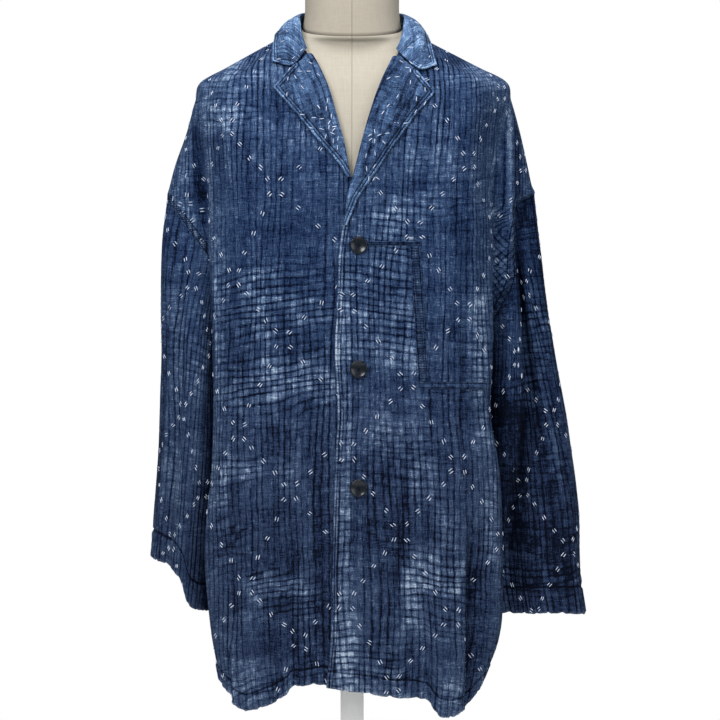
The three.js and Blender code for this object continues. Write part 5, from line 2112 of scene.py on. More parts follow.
def lapel_cloth(side: Side) -> Cloth:
    """One lapel, lying on its front, with the cloth rolled round the break line.

    Args:
        side: the wearer's side.

    Returns:
        The wall.
    """
    front, rows = FRONTS[side], LAPELS[side]
    low, high = rows["level"][0], rows["level"][-1]
    levels = np.linspace(low, high, LAPEL_CELLS[1] + 1)
    foot = rows.read("level", "break_x", levels) + LAPEL_CLEAR
    edge = np.interp(levels, rows["level"], rows["edge_x"])
    shares = 1 - (1 - np.linspace(0, 1, LAPEL_CELLS[0] + 1)) ** 1.3
    x = mix(foot[None], edge[None], shares[:, None])
    level = np.broadcast_to(levels[None], x.shape)
    share = front.share_at(x, level)
    across, out = front.directions(np.maximum(share, 1e-3), level)
    away = unit(across)
    settled = (1 - smooth(0, 40, levels - low))[None]
    rise = LAPEL_RISE + LAPEL_ROLL * (1 - smooth(0, ROLL_WIDTH, x - foot)) - 1.6 * settled
    points = front.spots(share, level) + out * rise[..., None]
    fuller = (0.3 + 0.7 * smooth(0, 45, levels - low))[None, :, None]
    bends = np.linspace(ROLL_TURN, 0, ROLL_CELLS + 1)[:-1]
    tall = rise[0]
    over = tall - (tall - ROLL_CLEAR) * (1 - np.cos(bends))[:, None]
    foot_point = points[0] - out[0] * tall[:, None]
    rolled = foot_point[None] + out[0][None] * over[..., None]
    rolled = rolled - away[0][None] * (ROLL_OUT * np.sin(bends))[:, None, None] * fuller
    roll_wall = unit(out[0][None] * np.cos(bends)[:, None, None]
                     - away[0][None] * np.sin(bends)[:, None, None])
    points = np.concatenate([rolled, points])
    wall = np.concatenate([roll_wall, out])
    run = run_across(points)
    run = run - run[len(bends)]
    free = levels <= rows["level"][-3] + 0.5
    outline = points[-1, free]
    gap = points[:, :, None, :] - outline[None, None]
    rim = np.sqrt((gap ** 2).sum(-1)).min(-1)
    calm = smooth(-9, 4, run) * 0.9
    return Cloth(f"lapel_{side.key}", placed(points, side.value), wall * [side.value, 1, 1],
                 run, run_along(points), rim=rim, calm=calm)


STRIPS = {
    "band_chest": (74.5, 561, 85, 401, 5.8, True),
    "band_side": (80, 395.8, 160, 395.2, 4.2, False),
    "pocket_mouth": (20, 564, 81, 564.6, 2.4, False),
}
STRIP_WALL = 1.0
STRIP_RISE = 1.7


def strip_cloth(name: str) -> Cloth:
    """A band or binding sewn on the wearer's left front.

    Args:
        name: which strip.

    Returns:
        The wall, already raised.
    """
    x0, z0, x1, z1, half, upright = STRIPS[name]
    front = FRONTS[Side.LEFT]
    length = math.hypot(x1 - x0, z1 - z0)
    count = 3 * max(4, round(length / 6))
    off, along = np.meshgrid(np.linspace(-half, half, 13), np.linspace(0, 1, count + 1),
                             indexing="ij")
    x = mix(x0, x1, along) + (off if upright else 0)
    level = mix(z0, z1, along) + (0 if upright else off)
    share = front.share_at(x, level)
    out = front.directions(share, level)[1]
    points = front.spots(share, level) + out * STRIP_RISE
    rounded = 0.5 * (1 - (off / half) ** 4) - 0.3
    seam = 1.5 * (np.abs(off) - (half - 1.3)) + FELLED_ROWS[0]
    cloth = Cloth(name, placed(points), out, off + x0, along * length, thick=STRIP_WALL, seam=seam)
    cloth.raise_by(rounded + 0.25 * np.cos(along * length / 2.9))
    return cloth


# ------------------------------------------------------------------ sashiko
LATTICE_COLUMNS = "top_u bottom_u first step"
NODE_REACH = 135
NODE_ARMS = ((-8, 9), (8, 9), (-8, -9), (8, -9))
STRAY, ASKEW = 0.9, 0.2
HALF_APART, SLIPPED, HALF_STITCH = (1.3, 1.75), (-0.9, 0.9), (2.4, 3.3)
PAIRS_ALONG = (0.3, 0.5, 0.72)


@dataclass(frozen=True)
class Lattice:
    """A half-drop diamond lattice of paired white stitches.

    Each row, under LATTICE_COLUMNS, is one column of nodes: where it stands at the top and the
    bottom of the cloth, the height of its first node and the step to the next.
    """

    seed: int
    columns: Rows
    top_v: float = 700.0
    bottom_v: float = 100.0

    def nodes(self) -> list[list[tuple[float, float]]]:
        """The nodes of each column, from the top down, in the cloth's own sizes.

        Returns:
            Pairs of u and v, a list for each column.
        """
        found = []
        for row in Table(LATTICE_COLUMNS, self.columns).rows():
            line = []
            for k in range(-2, 7):
                v = row["first"] - k * row["step"]
                share = (self.top_v - v) / (self.top_v - self.bottom_v)
                line.append((mix(row["top_u"], row["bottom_u"], share), v))
            found.append(line)
        return found

    def pairs(self) -> Array:
        """Each pair of stitches: its middle and the way it runs, as u, v, du, dv.

        Returns:
            A row for each pair.
        """
        rows = []
        columns = self.nodes()
        for k, line in enumerate(columns):
            for u, v in line:
                rows += [(u + a, v + b, -a, -b) for a, b in NODE_ARMS]
                for p, q in columns[k + 1] if k + 1 < len(columns) else []:
                    if abs(q - v) <= NODE_REACH:
                        rows += [(mix(u, p, t), mix(v, q, t), p - u, q - v) for t in PAIRS_ALONG]
        return np.array(rows, float)

    def sew(self, cloth: Cloth, thread: Thread) -> None:
        """Sew the lattice on a wall of cloth.

        Args:
            cloth: the quilted wall.
            thread: takes the stitches.
        """
        random = np.random.default_rng(self.seed)
        pairs = self.pairs()
        pairs[:, :2] += random.normal(0, STRAY, (len(pairs), 2))
        angle = np.arctan2(pairs[:, 3], pairs[:, 2]) + random.normal(0, ASKEW, len(pairs))
        along = np.stack([np.cos(angle), np.sin(angle)], axis=1)
        across = np.stack([-along[:, 1], along[:, 0]], axis=1)
        for sign in (-1, 1):
            one = lambda span: random.uniform(*span, (len(pairs), 1))
            middle = pairs[:, :2] + sign * across * one(HALF_APART) + along * one(SLIPPED)
            half = along * one(HALF_STITCH)
            stitch_on(cloth, thread, middle - half, middle + half)


SINGLE_COLUMNS = "x level turn"
DARK_COLUMNS = "x level end_x end_level"
SINGLE_LENGTH = 6.4
BAR_PITCH = 2.9
LADDER_ROWS = (2.7, 6.3, 9.9)
LONGEST_STITCH = 6.8


def stitch_on(cloth: Cloth, thread: Thread, starts: Array, ends: Array,
              by_place: bool = False) -> None:
    """Lay stitches on a wall of cloth.

    Args:
        cloth: the wall.
        thread: takes the stitches.
        starts: their first ends, in the cloth's own sizes or by x and height.
        ends: their last ends.
        by_place: whether they are given by x and height.
    """
    i, j, first = cloth.find(starts[:, 0], starts[:, 1], by_place)
    p, q, last = cloth.find(ends[:, 0], ends[:, 1], by_place)
    on = first & last
    start, up = cloth.at(i[on], j[on])
    end, _ = cloth.at(p[on], q[on])
    half, middle = (end - start) / 2, (end + start) / 2
    half *= np.minimum(1, LONGEST_STITCH / 2 / np.linalg.norm(half, axis=1, keepdims=True))
    thread.sew(middle - half, middle + half, up)


def sew_singles(cloth: Cloth, thread: Thread, rows: Rows) -> None:
    """Lay the single stitches that the back of the sashiko shows.

    Args:
        cloth: the wall.
        thread: takes the stitches.
        rows: rows under SINGLE_COLUMNS.
    """
    table = Table(SINGLE_COLUMNS, rows)
    turn = np.radians(table["turn"])
    middle = np.stack([table["x"], table["level"]], axis=1)
    half = np.stack([np.cos(turn), np.sin(turn)], axis=1) * SINGLE_LENGTH / 2
    stitch_on(cloth, thread, middle - half, middle + half, by_place=True)


def crossed(grid: Array, value: float, from_end: bool = False) -> tuple[Array, Array]:
    """Where each column of a grid first passes a value.

    Args:
        grid: the grid, read along its first axis.
        value: the value.
        from_end: whether it's read from the last row back.

    Returns:
        Places along the first axis, and the columns that do pass it.
    """
    read = grid[::-1] if from_end else grid
    past = (read[:-1] - value) * (read[1:] - value) <= 0
    columns = np.nonzero(past.any(axis=0))[0]
    before = past.argmax(axis=0)[columns]
    a, b = read[before, columns], read[before + 1, columns]
    place = before + (value - a) / np.where(np.abs(b - a) < 1e-9, 1e-9, b - a)
    return len(grid) - 1 - place if from_end else place, columns.astype(float)


# ------------------------------------------------------------------ the object's own classes
@dataclass
class Palette:
    """The object's finishes, made once."""

    indigo: bpy.types.Material
    faded: bpy.types.Material
    linen: bpy.types.Material
    neck_linen: bpy.types.Material
    white_thread: bpy.types.Material
    dark_thread: bpy.types.Material
    button: bpy.types.Material
    paint: bpy.types.Material

    @classmethod
    def mixed(cls) -> "Palette":
        """Make every finish.

        Returns:
            The palette.
        """
        return cls(
            indigo=Indigo().make(),
            faded=Indigo("faded_indigo", FADED_STOPS, 0.8).make(),
            linen=Linen().make(),
            neck_linen=Linen("neck_linen", (167, 160, 147), (148, 140, 126)).make(),
            white_thread=Yarn("white_thread", (136, 152, 182), (212, 219, 232)).make(),
            dark_thread=Yarn("dark_thread", (3, 5, 11), (11, 15, 26)).make(),
            button=Gloss("dark_button", (4, 8, 14), (14, 22, 33), 0.22, 0.3).make(),
            paint=Gloss("white_paint", (234, 234, 233), (244, 244, 243), 0.42).make(),
        )


# Areas are placed by x, rising to the wearer's left, and by height; the tone they add is mostly
# painted light and shade, paler where light falls and darker in hollows and beside the sleeves.
# The other rows are placed in the cloth's own sizes, and creases by x and height too where
# by_place is set.
QUILTING = {
    "front_right": Quilting(
        seed=11, slant=0.22, tone=0.30,
        creases=[
            [88, 84, 770, 640, 4, -2.4], [66, 64, 720, 640, 3.5, -1.8],
            [124, 121, 760, 560, 3.5, -1.7], [150, 146, 745, 600, 6, 1.6],
            [101, 96, 640, 430, 4, -1.2], [104, 98, 430, 290, 3.5, -1.8],
            [36, 33, 330, 60, 6, -2.4], [149, 146, 280, 90, 4, -2.0], [60, 52, 380, 150, 9, 1.2],
            [74, 70, 180, 20, 6, -1.6], [172, 170, 620, 250, 5, 1.4], [48, 44, 250, 20, 5, 1.4],
        ],
        laps=[
            [152, 155, 118, 20, 3.6, 26], [84, 82, 70, 20, 2.2, 18], [40, 44, 84, 20, 1.8, 16],
        ],
        pales=[
            [130, 790, 60, 22, 0.4], [152, 720, 34, 20, 0.4], [74, 697, 22, 16, 0.3],
            [42, 640, 30, 14, 0.3], [112, 484, 27, 46, 0.55], [165, 500, 9, 110, 0.5],
            [52, 480, 28, 22, 0.5], [62, 411, 36, 28, 0.7], [123, 388, 30, 34, 0.5],
            [135, 298, 26, 15, 0.55], [160, 272, 8, 28, 0.7], [80, 290, 11, 16, 0.4],
            [90, 156, 42, 18, 0.55], [120, 60, 30, 16, 0.45], [230, 560, 30, 40, 0.5],
            [215, 330, 24, 60, 0.5],
        ],
        areas=[
            [-150, 732, 40, 38, 0.12, 0.35, 0], [-189, 700, 5, 24, -0.12, 0, 0],
            [-185, 664, 8, 42, -0.24, 0, 0], [-179, 612, 7, 28, -0.18, 0, 0],
            [-80, 198, 54, 60, -0.03, 0, 0], [-170, 622, 3, 76, 0.17, 0, 0],
            [-104, 765, 26, 32, -0.06, -0.3, 0.3], [-120, 660, 50, 46, -0.02, -0.2, 0.1],
            [-100, 596, 76, 54, -0.02, -0.25, -0.25], [-160, 276, 14, 40, 0.07, 0.3, 0],
            [-130, 292, 16, 14, 0.08, 0.5, 0], [-92, 498, 74, 46, 0.05, 0.4, -0.1],
            [-92, 396, 70, 26, 0.02, 0.45, -0.1], [-145, 205, 20, 30, 0.03, 0.35, 0],
            [-59, 206, 28, 26, -0.05, -0.3, -0.1], [-80, 146, 48, 34, 0.01, 0.55, -0.15],
            [-107, 75, 32, 26, -0.05, -0.3, -0.35], [-118, 36, 30, 16, 0.04, 0.5, 0],
            [-45, 60, 22, 22, -0.03, 0.35, -0.2],
        ]),
    "front_left": Quilting(
        seed=23, slant=0.12, tone=0.31, cords=True,
        creases=[
            [112, 104, 760, 600, 4, -2.0], [92, 88, 730, 610, 4, -1.6],
            [132, 126, 740, 560, 5, -1.5], [150, 148, 700, 420, 5, 1.5],
            [135, 131, 500, 290, 4.5, -2.2], [119, 117, 500, 400, 3.5, -1.4],
            [49, 46, 370, 250, 3.5, -1.8], [63, 56, 320, 110, 5.5, -2.8],
            [103, 102, 340, 230, 4, -2.2], [18, 16, 270, 110, 4, -1.6], [35, 33, 220, 60, 4, -1.3],
            [69, 67, 110, 20, 4.5, -2.2], [90, 84, 240, 60, 9, 1.5], [6, 2, 200, 40, 8, 1.2],
            [2, 3, 570, 50, 2.4, -1.5], [44, 42, 685, 588, 3.0, -2.4],
            [60, 58, 712, 645, 3.0, -2.2], [72, 70, 662, 590, 3.0, -1.9],
        ],
        laps=[
            [137, 145, 270, 20, 5.0, 30], [88, 90, 86, 20, 3.2, 18], [133, 131, 490, 300, 1.6, 22],
        ],
        pales=[
            [150, 775, 50, 24, 0.45], [90, 700, 40, 40, 0.2], [-10, 330, 10, 300, 0.75],
            [34, 515, 40, 40, 0.35], [26, 455, 52, 30, 0.5], [60, 430, 20, 22, 0.4],
            [160, 410, 11, 90, 0.6], [25, 360, 26, 40, 0.35], [60, 330, 30, 46, 0.4],
            [82, 285, 19, 28, 0.5], [115, 228, 17, 32, 0.4], [100, 169, 36, 20, 0.7],
            [70, 135, 13, 46, 0.6], [172, 232, 9, 44, 0.6], [-8, 95, 14, 50, 0.5],
            [24, 40, 36, 18, 0.45], [120, 34, 14, 18, 0.6], [70, 600, 36, 22, 0.4],
            [40, 590, 20, 26, 0.5], [225, 560, 26, 46, 0.5],
        ],
        areas=[
            [148, 750, 30, 26, 0.05, 0, 0], [130, 654, 40, 60, 0.06, 0.1, 0],
            [104, 738, 20, 50, -0.07, -0.3, 0.3], [140, 700, 40, 40, 0, -0.4, 0.1],
            [200, 665, 6, 55, -0.20, -0.2, 0], [180, 610, 11, 45, -0.10, -0.5, 0],
            [190, 640, 2.5, 90, 0.11, 0, 0], [166, 580, 3, 80, 0.08, 0, 0],
            [148, 462, 20, 66, 0.12, 0.25, 0], [105, 520, 24, 50, -0.02, -0.2, -0.2],
            [40, 492, 38, 70, -0.04, 0.45, -0.1], [98, 145, 38, 44, -0.02, 0.35, -0.1],
            [28, 258, 34, 66, -0.08, 0.1, 0], [-6, 76, 18, 34, 0.02, 0.6, -0.1],
            [36, 76, 28, 26, 0, 0.5, -0.1], [26, 136, 32, 34, -0.04, -0.3, 0],
            [115, 64, 26, 24, -0.04, -0.3, -0.2],
        ]),
    "back": Quilting(
        seed=37,
        creases=[
            [-120, -126, 740, 500, 5, -1.8], [-60, -58, 760, 560, 6, 1.4],
            [10, 14, 780, 520, 5, -1.5], [78, 84, 740, 520, 6, 1.6],
            [132, 130, 720, 470, 4.5, -2.0], [-96, -92, 480, 260, 5, -1.8],
            [-12, -8, 460, 200, 6, -1.6], [52, 50, 430, 180, 5, -1.8],
            [110, 116, 470, 250, 5, 1.5], [-148, -150, 380, 110, 5, -1.9],
            [-40, -46, 240, 40, 7, 1.6], [84, 90, 230, 40, 5, -2.2], [24, 20, 200, 30, 4.5, -1.6],
            [-84, -88, 190, 30, 4.5, -2.0],
        ],
        laps=[
            [-96, -104, 200, 20, 3.4, 26], [70, 76, 230, 20, 3.8, 28],
        ],
        pales=[
            [-110, 700, 44, 24, 0.5], [40, 690, 50, 26, 0.5], [120, 640, 30, 22, 0.45],
            [-40, 560, 60, 40, 0.75], [90, 520, 40, 30, 0.5], [-130, 470, 34, 46, 0.65],
            [10, 420, 44, 30, 0.7], [130, 400, 30, 40, 0.6], [-70, 330, 50, 26, 0.6],
            [60, 290, 46, 34, 0.65], [-140, 220, 30, 36, 0.55], [-10, 180, 52, 24, 0.7],
            [110, 150, 40, 22, 0.6], [-90, 90, 40, 22, 0.55], [40, 60, 44, 20, 0.5],
        ]),
    "sleeve_right": Quilting(
        seed=51, tone=0.33,
        creases=[
            [150, 158, 400, 150, 6, -1.8], [206, 198, 380, 60, 5, -1.6],
            [178, 176, 300, 20, 7, 1.5], [120, 126, 260, 40, 5, -1.6],
            [240, 236, 330, 90, 6, -1.5], [88, 92, 380, 200, 6, -1.4],
        ],
        pales=[
            [200, 330, 26, 30, 0.3], [150, 210, 30, 26, 0.3], [230, 130, 26, 30, 0.35],
            [170, 60, 34, 18, 0.3], [90, 150, 26, 34, 0.3], [280, 260, 24, 40, 0.3],
        ],
        areas=[
            [-208, 300, 5, 120, 0.10, 0, 0], [-167, 270, 12, 130, -0.15, 0, -0.2],
            [-196, 240, 10, 80, -0.04, 0, 0],
        ]),
    # This sleeve's low tone is partly its own darker cloth and partly painted shade.
    "sleeve_left": Quilting(
        seed=67, tone=0.22, across=0.10,
        creases=[
            [150, 150, 420, 180, 6, -2.0], [200, 206, 400, 90, 5, -1.7],
            [176, 182, 330, 30, 7, 1.6], [118, 122, 300, 60, 5, -1.6],
            [236, 232, 360, 120, 6, -1.5], [86, 90, 360, 160, 6, -1.4],
        ],
        pales=[
            [190, 370, 26, 30, 0.25], [140, 250, 30, 30, 0.3], [210, 190, 26, 26, 0.3],
            [160, 90, 36, 20, 0.3], [90, 200, 26, 34, 0.25], [270, 300, 24, 40, 0.25],
        ],
        areas=[
            [192, 285, 18, 110, -0.22, 0, -0.3], [222, 440, 18, 60, 0.06, 0.45, 0],
            [202, 545, 6, 60, -0.16, 0, -0.2], [172, 380, 12, 50, -0.08, 0, 0],
            [248, 250, 44, 100, -0.08, 0, -0.3], [240, 166, 60, 12, 0.02, 0.5, 0],
        ]),
    "collar": Quilting(
        seed=79, tone=0.55, pitch_u=6.6, across=0.04, down=0.30, height=0.5, mottle=0.13,
        cords=True, by_place=True,
        creases=[
            [69, 79, 838, 788, 2.4, -2.4], [88, 91, 828, 790, 3.2, -1.6],
            [-66, -62, 822, 796, 2.4, -2.2], [-79, -70, 806, 782, 2.8, -2.2],
            [-86, -84, 828, 800, 4, -1.4],
        ]),
    "lapel_right": Quilting(
        seed=83, tone=0.37, pitch_u=9.4, across=0.04, down=0.42, height=0.5, mottle=0.10,
        cords=True, by_place=True,
        creases=[
            [-74, -36, 776, 708, 2.8, -1.9], [-66, -22, 790, 704, 2.4, -2.1],
            [-50, -20, 740, 672, 3.0, -1.4],
        ]),
    "lapel_left": Quilting(
        seed=97, tone=0.39, pitch_u=9.4, across=0.04, down=0.44, height=0.5, mottle=0.10,
        cords=True, by_place=True,
        creases=[
            [74, 12, 748, 658, 2.6, -2.1], [52, 20, 762, 702, 2.4, -1.9],
            [60, 40, 786, 760, 3.0, -1.4],
        ]),
    "band_chest": Quilting(seed=101, tone=0.33, across=0.5, down=0.1, height=0.2),
    "band_side": Quilting(seed=103, tone=0.46, across=0.4, down=0.1, height=0.2),
    "pocket_mouth": Quilting(seed=107, tone=0.46, across=0.4, down=0.1, height=0.2),
}
# Single stitches: x and height of the middle, and the way the stitch runs, in degrees.
SINGLES = {
    "lapel_right": [
        [-49.7, 781.6, -30], [-62.1, 771.1, 0], [-51.7, 771.1, 0], [-40.2, 766.9, -40],
        [-76.6, 762, 80], [-67.6, 763.9, -60], [-59.2, 751.3, -50], [-77.6, 742.6, 85],
        [-39.7, 727.4, -55], [-29.3, 734.6, 80], [-30.5, 725.2, 85], [-24.5, 716.2, 88],
        [-59.2, 718, -8], [-45.2, 714.2, 0], [-35.8, 713, 8], [-27.1, 708.4, 60],
        [-27.4, 702.4, 88], [-20.8, 703.4, 8], [-21.8, 699.6, 50], [-23.1, 695.3, -25],
        [-48.5, 701.9, -12], [-36.3, 700.7, -18], [-31.3, 691.5, 70], [-22.1, 686, 88],
        [-16.6, 689, 80], [-17.1, 678, 86], [-75, 774, 60], [-33.6, 670.6, -45],
    ],
    "lapel_left": [
        [43.6, 762.1, 30], [54, 764.1, 8], [54.5, 740.3, 60], [43.1, 728.8, 50], [36.8, 720.4, 52],
        [53, 708.1, -6], [27.1, 697.5, 100], [21.2, 693, 35], [32.6, 693.5, 25], [42.1, 695.4, 5],
        [22.2, 688, 40], [27.1, 686, 88], [38, 684.5, -45], [16.7, 668.6, 80], [27.5, 671, 95],
        [17.5, 652.7, 95], [20, 641.3, 85], [59.4, 783.3, -30], [66.3, 775.8, 0],
        [69.8, 771.9, 88], [69.8, 757.4, 85], [79.2, 764.9, -30], [87.2, 748.5, 94],
        [76.8, 737, 85], [87, 731.5, 60], [75.8, 721.6, 62], [63.8, 707.6, 10], [26.5, 655.7, 55],
    ],
    "collar": [
        [-83.5, 808.6, 20], [-70.1, 788, 40], [-60.5, 798, 40], [-88, 786.5, 0], [-78.5, 822, -40],
        [78.3, 833.6, -30], [78.8, 814.2, -52], [69.3, 801.2, 5], [84.2, 797, 0], [93, 790, 60],
        [81.5, 777.2, 40], [70.8, 780.8, -48], [71.3, 836.5, 50], [88, 812, 70],
    ],
    "front_right": [
        [-200.5, 648, 78], [-200.7, 625.3, 80], [-197.5, 624.7, 86], [-194.5, 616.1, 5],
        [-194.3, 612.7, 0], [-180.7, 608.2, 8], [-180.3, 604.8, 2], [-221.3, 624, 70],
        [-218.9, 622.5, 60], [-207.3, 615.8, -20], [-208.3, 612.2, -25], [-205.5, 603.6, 35],
        [-203.5, 600.8, 40], [-193.1, 595.3, 40], [-190.9, 592.7, 30],
    ],
    "front_left": [
        [70.5, 571.4, 0], [70.5, 569.6, 0], [26, 640.5, 55], [30.5, 641.5, -35],
    ],
}
# Short rows of dark stitching, from one end's x and height to the other's.
DARK_LINES = {
    "front_left": [
        [1, 564, 20, 564], [68, 564.6, 85, 564.6],
        *[[18, z + 0.9, 25, z + 0.9] for z in (562, 415, 274)],
        *[[18, z - 0.9, 25, z - 0.9] for z in (562, 415, 274)],
    ],
    "lapel_left": [
        [50, 750.4, 62, 752.2], [62, 752.2, 76, 750.8], [50, 749.4, 62, 747.6],
        [62, 747.6, 76, 748.8], [76, 751, 76, 748.6],
    ],
}
LATTICES = {
    "front_right": Lattice(3, [
        [-12, -8, 540, 183], [96, 63, 632, 181], [150, 127, 705, 182], [213, 196, 617, 182],
        [272, 262, 705, 182],
    ]),
    "front_left": Lattice(5, [
        [-4, -6, 494, 177], [79, 52, 581, 180], [144, 119, 664, 181], [206, 190, 572, 181],
        [268, 255, 664, 181],
    ]),
    "back": Lattice(7, [
        [-296, -280, 618, 182], [-222, -214, 710, 182], [-148, -142, 618, 182],
        [-74, -70, 710, 182], [0, 0, 618, 182], [74, 70, 710, 182], [148, 142, 618, 182],
        [222, 214, 710, 182], [296, 280, 618, 182],
    ]),
    "sleeve_right": Lattice(9, [
        [57, 52, 288, 157], [121, 115, 367, 157], [187, 182, 300, 152], [249, 244, 367, 157],
        [313, 305, 285, 168],
    ]),
    "sleeve_left": Lattice(13, [
        [33 + 64 * k, 17 + 64 * k, 310 + 81 * (k % 2), 157] for k in range(6)
    ]),
}


@dataclass
class Jacket:
    """The jacket: its cloth, its quilting, its white lattice and its dark seams."""

    palette: Palette
    cloths: dict[str, Cloth] = field(default_factory=dict)
    pieces: dict[str, bpy.types.Object] = field(default_factory=dict)

    def cut(self) -> None:
        """Shape and quilt every piece of cloth."""
        walls = [front_cloth(side) for side in Side] + [back_cloth(), collar_cloth()]
        walls += [sleeve_cloth(side) for side in Side] + [lapel_cloth(side) for side in Side]
        walls += [strip_cloth(name) for name in STRIPS]
        for cloth in walls:
            QUILTING[cloth.name].work(cloth)
            self.cloths[cloth.name] = cloth
            pale = cloth.name.startswith(("collar", "lapel"))
            piece = keep(cloth.name, cloth_mesh(cloth),
                         self.palette.faded if pale else self.palette.indigo)
            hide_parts(cloth.name)
            self.pieces[cloth.name] = piece

    def sew_lattice(self) -> None:
        """Sew the white diamond lattice on the body and sleeves, and its back on the collar."""
        for name, cloth in self.cloths.items():
            thread = Thread(f"sashiko_{name}", radius=0.55, lift=0.3)
            if name in LATTICES:
                LATTICES[name].sew(cloth, thread)
            if name in SINGLES:
                sew_singles(cloth, thread, SINGLES[name])
            self.add_thread(thread, self.palette.white_thread)

    def sew_seams(self) -> None:
        """Sew the dark topstitching of hems, cuffs, edges, seams and bands."""
        for name, cloth in self.cloths.items():
            thread = Thread(f"topstitch_{name}", radius=0.3, lift=0.1)
            bars = Thread(f"ladder_{name}", radius=0.5, lift=0.3)
            for i, j in self.rows_on(cloth):
                if len(i) > 2:
                    thread.sew_line(*cloth.at(i, j), 2.6, 0.9)
            for from_end in (False, True) if name == "back" else (True,):
                self.sew_ladder(cloth, bars, from_end)
            if name in DARK_LINES:
                for row in Table(DARK_COLUMNS, DARK_LINES[name]).rows():
                    ends = np.array([[row["x"], row["level"]], [row["end_x"], row["end_level"]]])
                    line = mix(ends[:1], ends[1:], np.linspace(0, 1, 12)[:, None])
                    i, j, _ = cloth.find(*line.T, by_place=True)
                    thread.sew_line(*cloth.at(i, j), 2.0, 0.3)
            self.add_thread(thread, self.palette.dark_thread)
            self.add_thread(bars, self.palette.dark_thread)

    @staticmethod
    def rows_on(cloth: Cloth) -> list[tuple[Array, Array]]:
        """Grid places along every row of dark stitching on a wall of cloth.

        Args:
            cloth: the wall.

        Returns:
            Places across and columns, for each row.
        """
        lines = []
        if cloth.turn.min() < 0:
            lines.append(crossed(cloth.turn.T, 0.0)[::-1])
        for row in CORD_ROWS:
            if cloth.rim.min() < row:
                from_end = cloth.name != "front_left"
                lines.append(crossed(cloth.rim, row, from_end))
        if cloth.welt.max() > 0 or cloth.name in STRIPS:
            lines += [crossed(cloth.seam, row, end)
                      for row in FELLED_ROWS for end in (False, True)]
        return lines

    @staticmethod
    def sew_ladder(cloth: Cloth, thread: Thread, from_end: bool) -> None:
        """Sew the short bars between a felled seam's two rows.

        Args:
            cloth: the wall.
            thread: takes the stitches.
            from_end: which of the cloth's two sides.
        """
        rows = [(row, from_end) for row in LADDER_ROWS]
        if cloth.name == "band_chest":
            rows = [(1.2, False), (-4.7, False), (1.2, True)]
        elif cloth.welt.max() <= 0:
            return
        found = [crossed(cloth.seam, row, end) for row, end in rows]
        shared = set.intersection(*(set(columns) for _, columns in found))
        lines = []
        for places, columns in found:
            on = np.isin(columns, list(shared))
            lines.append(cloth.at(places[on], columns[on]))
        length = np.linalg.norm(np.diff(lines[0][0], axis=0), axis=1).sum()
        for (start, up), (end, _) in zip(lines, lines[1:]):
            thread.sew_bars(start, end, up, int(length / BAR_PITCH))

    def add_thread(self, thread: Thread, material: bpy.types.Material) -> None:
        """Make a thread's mesh, if it has any stitches."""
        if thread.starts:
            self.pieces[thread.name] = keep(thread.name, thread.mesh(), material)

    def declare(self) -> None:
        """Gather the pieces of each sheet of cloth, with the size it was cut to; nothing more is
        done.
        """
        for name, (width, length, area) in CUTS.items():
            going = [p for key, p in self.pieces.items() if key.endswith(f"_{name}")]
            if name == "front_left":
                going += [self.pieces[strip] for strip in STRIPS]

    def build(self) -> None:
        """Build the whole jacket."""
        self.cut()
        self.sew_lattice()
        self.sew_seams()
        self.declare()


CUTS = {
    "front_right": (0.345, 0.84, 0.215),
    "front_left": (0.345, 0.84, 0.217),
    "back": (0.68, 0.82, 0.41),
    "sleeve_right": (0.36, 0.47, 0.13),
    "sleeve_left": (0.36, 0.49, 0.14),
    "collar": (0.36, 0.09, 0.029),
    "lapel_right": (0.085, 0.16, 0.0068),
    "lapel_left": (0.085, 0.21, 0.0085),
}


# ------------------------------------------------------------------ the form
FORM_COLUMNS = "z half_x front_y back_y tilt"
TORSO_ROWS = Table(FORM_COLUMNS, [
    [150, 122, -88, 84, 0], [154, 131, -96, 92, 0], [166, 137, -103, 99, 0],
    [230, 141, -107, 104, 0], [300, 138, -104, 99, 0], [380, 133, -101, 93, 0],
    [450, 137, -108, 97, 0], [520, 147, -117, 107, 0], [580, 156, -120, 114, 0],
    [640, 162, -116, 116, 0], [700, 168, -104, 111, 0], [740, 171, -88, 101, 0],
    [763, 169, -74, 85, 0], [777, 152.3, -61, 74, 0], [797, 112.5, -45, 60, 0],
    [804, 94, -42, 58, 0], [810, 82, -41, 54, 0.04], [815, 71, -43, 52, 0.1],
    [819, 64.5, -46, 51.5, 0.16], [826, 60, -49, 52, 0.22],
])
NECK_ROWS = Table(FORM_COLUMNS, [
    [826, 60, -49, 52, 0.22], [842, 57.5, -49, 54, 0.18], [872, 57, -49, 55, 0.1],
    [886, 56.5, -48, 56, 0.06], [891, 54, -46, 53, 0.06], [894, 48, -40, 47, 0.06],
])


